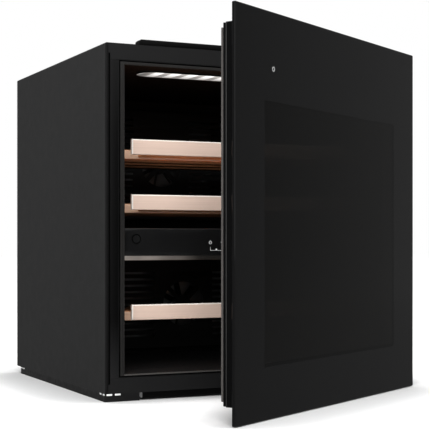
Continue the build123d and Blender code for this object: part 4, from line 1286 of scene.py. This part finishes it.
class DressBack(bpy.types.Operator):
    """Finish the back: pressed panel, slotted cover, screws, inlet and inner sheets"""

    bl_idname = "cooler.dress_back"
    bl_label = "Back"

    def execute(self, context):
        size = sizes()
        tint = colours()
        sheet = galvanised("back_sheet", tint.back_paint)
        paint(sheet, "machine_bay_panel", "bottom_plate", "machine_plate", "rear_cover")
        self.pressed_panel(size, sheet)
        inlet = moulded_plastic("inlet_plastic", tint.base)
        soften("power_inlet", "power_inlet_socket", size.sheet_round, inlet, "base_plastic", shortest=0.01)
        zinc = plated_steel("screw_zinc", tint.zinc)
        screws("rear_cover_screws", "rear_cover_cross_screws", 1.0, zinc)
        return {"FINISHED"}

    def pressed_panel(self, size, sheet):
        """The sheet behind the upper zone, with columns pressed out of its field."""
        bm = bmesh.new()
        add_box(bm, *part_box("back_panel"))
        rear = max(bm.faces, key=lambda face: face.calc_center_median().y)
        bmesh.ops.inset_individual(bm, faces=[rear], thickness=size.bead_margin, depth=0.0)
        low, high = corners([vertex.co for vertex in rear.verts])
        step = (high.x - low.x) / size.bead_columns
        field = [rear, *rear.edges, *rear.verts]
        for column in range(1, size.bead_columns):
            field = cut(bm, (low.x + column * step, 0.0, 0.0), (1.0, 0.0, 0.0), field)
        columns = of_kind(field, bmesh.types.BMFace)
        for rise in (0.0, size.bead_height):
            bmesh.ops.inset_individual(bm, faces=columns, thickness=size.bead_width, depth=rise)
        add_piece(bm, "back_panel_pressing", "cabinet", "sheet_steel", [sheet], "back_panel")


class DressHinges(bpy.types.Operator):
    """Finish the hinge brackets, pins, bushes and their screws"""

    bl_idname = "cooler.dress_hinges"
    bl_label = "Hinges"

    def execute(self, context):
        size = sizes()
        tint = colours()
        zinc = plated_steel("hinge_zinc", shade(tint.zinc, 0.35))
        for end in ("upper", "lower"):
            node = f"{end}_hinge_bracket"
            soften(node, f"{node}_plate", size.sheet_round, zinc, "steel_parts")
            paint(zinc, f"{end}_hinge_pin")
        screws("hinge_screws", "hinge_cross_screws", -1.0, zinc)
        paint(moulded_plastic("bush_plastic", tint.pale_plastic), "hinge_bushes")
        return {"FINISHED"}


class DressDoorGlass(bpy.types.Operator):
    """Finish the door's outer glass with its printed border, window and touch key"""

    bl_idname = "cooler.dress_door_glass"
    bl_label = "Door glass"

    # Edges of the rounded plate that are sharper than this are the ones to be ground
    rim_angle = math.radians(60)

    def execute(self, context):
        size = sizes()
        tint = colours()
        low, high = shut_box("door_glass")
        border = door_glass("door_border_glass", tint.door_glass, (0.9, 1.12), (0.03, 0.065), IOR=1.5)
        window = door_glass(
            "door_window_glass", tint.window, (0.93, 1.07), (0.0, 0.03), Transmission_Weight=1.0, IOR=1.42
        )
        bm = bmesh.new()
        add_box(bm, low, high)
        depth_edges = [
            edge for edge in bm.edges if abs(edge.verts[0].co.y - edge.verts[1].co.y) > PLANE_PLAY
        ]
        round_edges(bm, depth_edges, size.glass_corner, steps=5)
        rims = [edge for edge in bm.edges if edge.calc_face_angle(0.0) > self.rim_angle]
        round_edges(bm, rims, size.glass_chamfer, steps=1)
        self.cut_window(bm, size)
        bmesh.ops.transform(bm, matrix=TO_OPEN, verts=bm.verts)
        add_piece(bm, "door_glass_pane", "door", "door_glass", [border, window], "door_glass")
        key = bmesh.new()
        centre = (low.x + size.key_inset, low.y - size.print_proud / 2, high.z - size.key_drop)
        hoop(key, centre, size.key_size, size.key_stroke, size.print_proud)
        bmesh.ops.recalc_face_normals(key, faces=key.faces)
        bmesh.ops.transform(key, matrix=TO_OPEN, verts=key.verts)
        mark = printed_mark("door_key_mark", shade(tint.mark, 0.6))
        add_piece(key, "door_touch_key", "door", "door_glass", [mark])
        return {"FINISHED"}

    def cut_window(self, bm, size):
        """Cut the pane's faces along the window and give them the smoked glass."""
        low, high = shut_box("inner_pane")
        margin = Vector((size.window_border, 0.0, size.window_border))
        low += margin - Vector((0.0, 0.0, size.window_drop))
        high -= margin
        for point in (low, high):
            for normal in ((1.0, 0.0, 0.0), (0.0, 0.0, 1.0)):
                cut(bm, point, normal)
        for face in bm.faces:
            middle = face.calc_center_median()
            if low.x < middle.x < high.x and low.z < middle.z < high.z:
                face.material_index = 1


class DressDoorFrame(bpy.types.Operator):
    """Finish the frame behind the glass, its trim, the inner pane and the spacer"""

    bl_idname = "cooler.dress_door_frame"
    bl_label = "Door frame"

    # The shortest edges of the frame and its trim that are rounded
    shortest = 0.012

    def execute(self, context):
        size = sizes()
        tint = colours()
        plastic = moulded_plastic(
            "door_frame_plastic", tint.door_frame, rough=(0.18, 0.26), grain=0.02, specular=0.22
        )
        # The rounded outer back edge takes a painted highlight.
        edge = moulded_plastic(
            "door_frame_edge_highlight", tint.frame_edge_highlight, rough=(0.3, 0.4), grain=0.02, specular=0.3
        )
        self.profile(size, [plastic, edge])
        soften(
            "door_trim",
            "door_trim_profile",
            size.frame_round,
            plastic,
            "door_frame",
            body="door",
            steps=3,
            shortest=self.shortest,
        )
        paint(clear_glass("inner_pane_glass", tint.clear_glass), "inner_pane")
        paint(rolled_alloy("spacer_alloy", shade(tint.alloy, 0.06)), "pane_spacer")
        return {"FINISHED"}

    def profile(self, size, materials):
        """The frame's profile, with a larger rounding along its outer back edge that takes a painted
        highlight.
        """
        low, high = shut_box("door_frame")
        bm = merged_copy("door_frame")
        bmesh.ops.transform(bm, matrix=TO_SHUT, verts=bm.verts)

        def outer(point):
            """Whether a point lies on the outer edge of the frame's back."""
            sides = (point.x - low.x, high.x - point.x, point.z - low.z, high.z - point.z)
            return high.y - point.y < PLANE_PLAY and min(sides) < PLANE_PLAY

        back = [edge for edge in sharp_edges(bm) if all(outer(vertex.co) for vertex in edge.verts)]
        # This rounding takes the painted highlight.
        for face in round_edges(bm, back, size.frame_back_round, steps=4):
            face.material_index = 1
        round_edges(bm, sharp_edges(bm, self.shortest), size.frame_round, steps=3)
        bmesh.ops.transform(bm, matrix=TO_OPEN, verts=bm.verts)
        add_piece(bm, "door_frame_profile", "door", "door_frame", materials, "door_frame")


class DressDoorGasket(bpy.types.Operator):
    """Finish the door's gasket as a bellows seal"""

    bl_idname = "cooler.dress_door_gasket"
    bl_label = "Door gasket"

    # Half of the seal's section: shares of its width from the outer side, and of its depth from the door
    half_section = (
        (0.04, 0.0),
        (0.04, 0.22),
        (0.14, 0.34),
        (0.09, 0.50),
        (0.0, 0.72),
        (0.05, 0.93),
        (0.16, 1.0),
    )

    def execute(self, context):
        low, high = shut_box("door_gasket")
        wide = sizes().gasket_width
        other_half = [(1.0 - across, deep) for across, deep in reversed(self.half_section)]
        section = [*self.half_section, *other_half]
        profile = [(wide * across, low.y + (high.y - low.y) * deep) for across, deep in section]
        bm = bmesh.new()
        frame_sweep(bm, low, high, profile)
        bmesh.ops.transform(bm, matrix=TO_OPEN, verts=bm.verts)
        rubber = seal_rubber("gasket_rubber", colours().gasket)
        add_piece(bm, "door_gasket_seal", "door", "rubber", [rubber], "door_gasket")
        return {"FINISHED"}


class BuildStage(bpy.types.Operator):
    """Set the floor, the soft lamps, the grey cards and the camera"""

    bl_idname = "cooler.build_stage"
    bl_label = "Stage"

    # Brightness of the floor's paper between its fibres and on them
    paper = (0.71, 0.73)
    # The occlusion at the foot of a wall, where the floor isn't lifted at all
    wall_foot = 0.5
    # The upright cards: where their middles stand, and the axis about which they are turned up
    upright_cards = (
        ("right_card", (4.5, -0.3, 2.0), "Y"),
        ("left_card", (-4.5, 0.6, 2.0), "Y"),
        ("rear_card", (-1.8, 5.5, 2.0), "X"),
        ("front_card", (2.9, -5.5, 2.0), "X"),
    )

    def execute(self, context):
        stage = context.scene.cooler_stage
        context.scene.view_settings.view_transform = "Standard"
        self.floor(stage)
        self.world(context, stage)
        self.lamps(context, stage)
        self.cards(stage)
        self.camera(context, stage)
        return {"FINISHED"}

    def plane(self, name, side, place, material):
        """A flat square that isn't part of the cooler."""
        bm = bmesh.new()
        bmesh.ops.create_grid(bm, x_segments=1, y_segments=1, size=side / 2, matrix=place)
        plane = add_object(bm, name, [material])
        return plane

    def seen_rays(self, tree):
        """A factor of 1 for camera, glossy and transmission rays."""
        path = tree.nodes.new("ShaderNodeLightPath")
        total = path.outputs["Is Camera Ray"]
        for name in ("Is Glossy Ray", "Is Transmission Ray"):
            larger = tree.nodes.new("ShaderNodeMath")
            larger.operation = "MAXIMUM"
            tree.links.new(total, larger.inputs[0])
            tree.links.new(path.outputs[name], larger.inputs[1])
            total = larger.outputs["Value"]
        return total

    def floor(self, stage):
        """A pale floor that the camera sees as white where nothing shades it."""
        finish = Finish("floor_paper")
        dark, light = ((tone, tone, tone) for tone in self.paper)
        finish.feed("Base Color", finish.mix(finish.noise(30.0, 4.0), dark, light))
        finish.fix(Roughness=1.0, Specular_IOR_Level=0.0)
        near = finish.add("ShaderNodeAmbientOcclusion", {"Distance": stage.contact_reach})
        clear = finish.span(near.outputs["AO"], 0.0, 1.0, start=self.wall_foot, end=1.0)
        lift = finish.math("MULTIPLY", finish.math("POWER", clear, stage.contact_power), stage.floor_glow)
        glow = finish.add("ShaderNodeEmission")
        strength = finish.math("MULTIPLY", self.seen_rays(finish.tree), lift)
        finish.link(strength, glow.inputs["Strength"])
        both = finish.add("ShaderNodeAddShader")
        finish.link(finish.shader.outputs["BSDF"], both.inputs[0])
        finish.link(glow.outputs["Emission"], both.inputs[1])
        finish.surface(both.outputs["Shader"])
        place = Matrix.Translation((0.0, 0.0, FLOOR_LEVEL))
        self.plane("studio_floor", stage.floor_size, place, finish.material)

    def world(self, context, stage):
        """An even soft surround that is white where it is seen."""
        world = bpy.data.worlds.new("studio_world")
        context.scene.world = world
        world.use_nodes = True
        tree = world.node_tree
        soft = tree.nodes["Background"]
        white = tree.nodes.new("ShaderNodeBackground")
        for light, strength in ((soft, stage.sky), (white, 1.0)):
            light.inputs["Color"].default_value = (1.0, 1.0, 1.0, 1.0)
            light.inputs["Strength"].default_value = strength
        mix = tree.nodes.new("ShaderNodeMixShader")
        tree.links.new(self.seen_rays(tree), mix.inputs["Fac"])
        tree.links.new(soft.outputs["Background"], mix.inputs[1])
        tree.links.new(white.outputs["Background"], mix.inputs[2])
        tree.links.new(mix.outputs["Shader"], tree.nodes["World Output"].inputs["Surface"])

    def lamps(self, context, stage):
        """A large lamp at the front left and one overhead."""
        lamps = (
            ("key_lamp", stage.key_place, stage.key_power, stage.key_side),
            ("overhead_lamp", stage.fill_place, stage.fill_power, stage.fill_side),
        )
        target = (cad_box[0] + cad_box[1]) / 2
        for name, place, power, side in lamps:
            lamp = bpy.data.lights.new(name, "AREA")
            lamp.energy = power
            lamp.size = side
            lamp_object = bpy.data.objects.new(name, lamp)
            lamp_object.location = place
            lamp_object.rotation_euler = (target - Vector(place)).to_track_quat("-Z", "Y").to_euler()
            lamp_object.visible_glossy = False
            context.scene.collection.objects.link(lamp_object)

    def cards(self, stage):
        """Grey cards that the dark faces mirror, seen by reflections alone."""
        finish = Finish("card_grey")
        glow = finish.add("ShaderNodeEmission")
        depth = finish.axis("Y")
        tone = finish.span(depth, stage.card_grey, stage.card_pale, stage.card_front, stage.card_back)
        finish.link(tone, glow.inputs["Strength"])
        finish.surface(glow.outputs["Emission"])
        places = [
            (name, stage.card_size, Matrix.Translation(place) @ Matrix.Rotation(math.pi / 2, 4, axis))
            for name, place, axis in self.upright_cards
        ]
        places.append(("floor_card", stage.floor_size, Matrix.Translation((0.0, 0.0, FLOOR_LEVEL / 2))))
        for name, side, place in places:
            card = self.plane(name, side, place, finish.material)
            for ray in ("camera", "diffuse", "transmission", "shadow", "volume_scatter"):
                setattr(card, f"visible_{ray}", False)

    def camera(self, context, stage):
        """The camera at the photograph's place, level and turned to the right."""
        camera = bpy.data.cameras.new("studio_camera")
        camera.lens = stage.lens
        camera.shift_y = stage.lens_shift
        camera_object = bpy.data.objects.new("studio_camera", camera)
        camera_object.location = stage.camera_place
        camera_object.rotation_euler = (math.pi / 2, 0.0, -stage.camera_turn)
        context.scene.collection.objects.link(camera_object)
        context.scene.camera = camera_object


class CoolerPanel(bpy.types.Panel):
    """Lists the steps that dress the cooler"""

    bl_idname = "VIEW3D_PT_cooler"
    bl_label = "Wine cooler"
    bl_space_type = "VIEW_3D"
    bl_region_type = "UI"
    bl_category = "Wine cooler"

    def draw(self, context):
        for step in STEPS:
            self.layout.operator(step.bl_idname)
        for group in (sizes(), colours(), context.scene.cooler_stage):
            box = self.layout.box()
            for name in group.__annotations__:
                box.prop(group, name)


STEPS = (
    DressCase,
    DressInside,
    DressControlPanel,
    DressLights,
    DressShelves,
    DressCooling,
    DressBack,
    DressHinges,
    DressDoorGlass,
    DressDoorFrame,
    DressDoorGasket,
    BuildStage,
)
GROUPS = (CoolerSizes, CoolerColours, StageSettings)
CLASSES = (*GROUPS, *STEPS, CoolerPanel)


def register():
    """Register the classes and hang the settings on the scene."""
    for item in CLASSES:
        bpy.utils.register_class(item)
    bpy.types.Scene.cooler_sizes = PointerProperty(type=CoolerSizes)
    bpy.types.Scene.cooler_colours = PointerProperty(type=CoolerColours)
    bpy.types.Scene.cooler_stage = PointerProperty(type=StageSettings)


def unregister():
    """Take the settings and the classes away again."""
    del bpy.types.Scene.cooler_stage
    del bpy.types.Scene.cooler_colours
    del bpy.types.Scene.cooler_sizes
    for item in reversed(CLASSES):
        bpy.utils.unregister_class(item)


def main():
    """Run every step."""
    register()
    for step in STEPS:
        group, name = step.bl_idname.split(".")
        getattr(getattr(bpy.ops, group), name)()


if __name__ == "__main__":
    main()
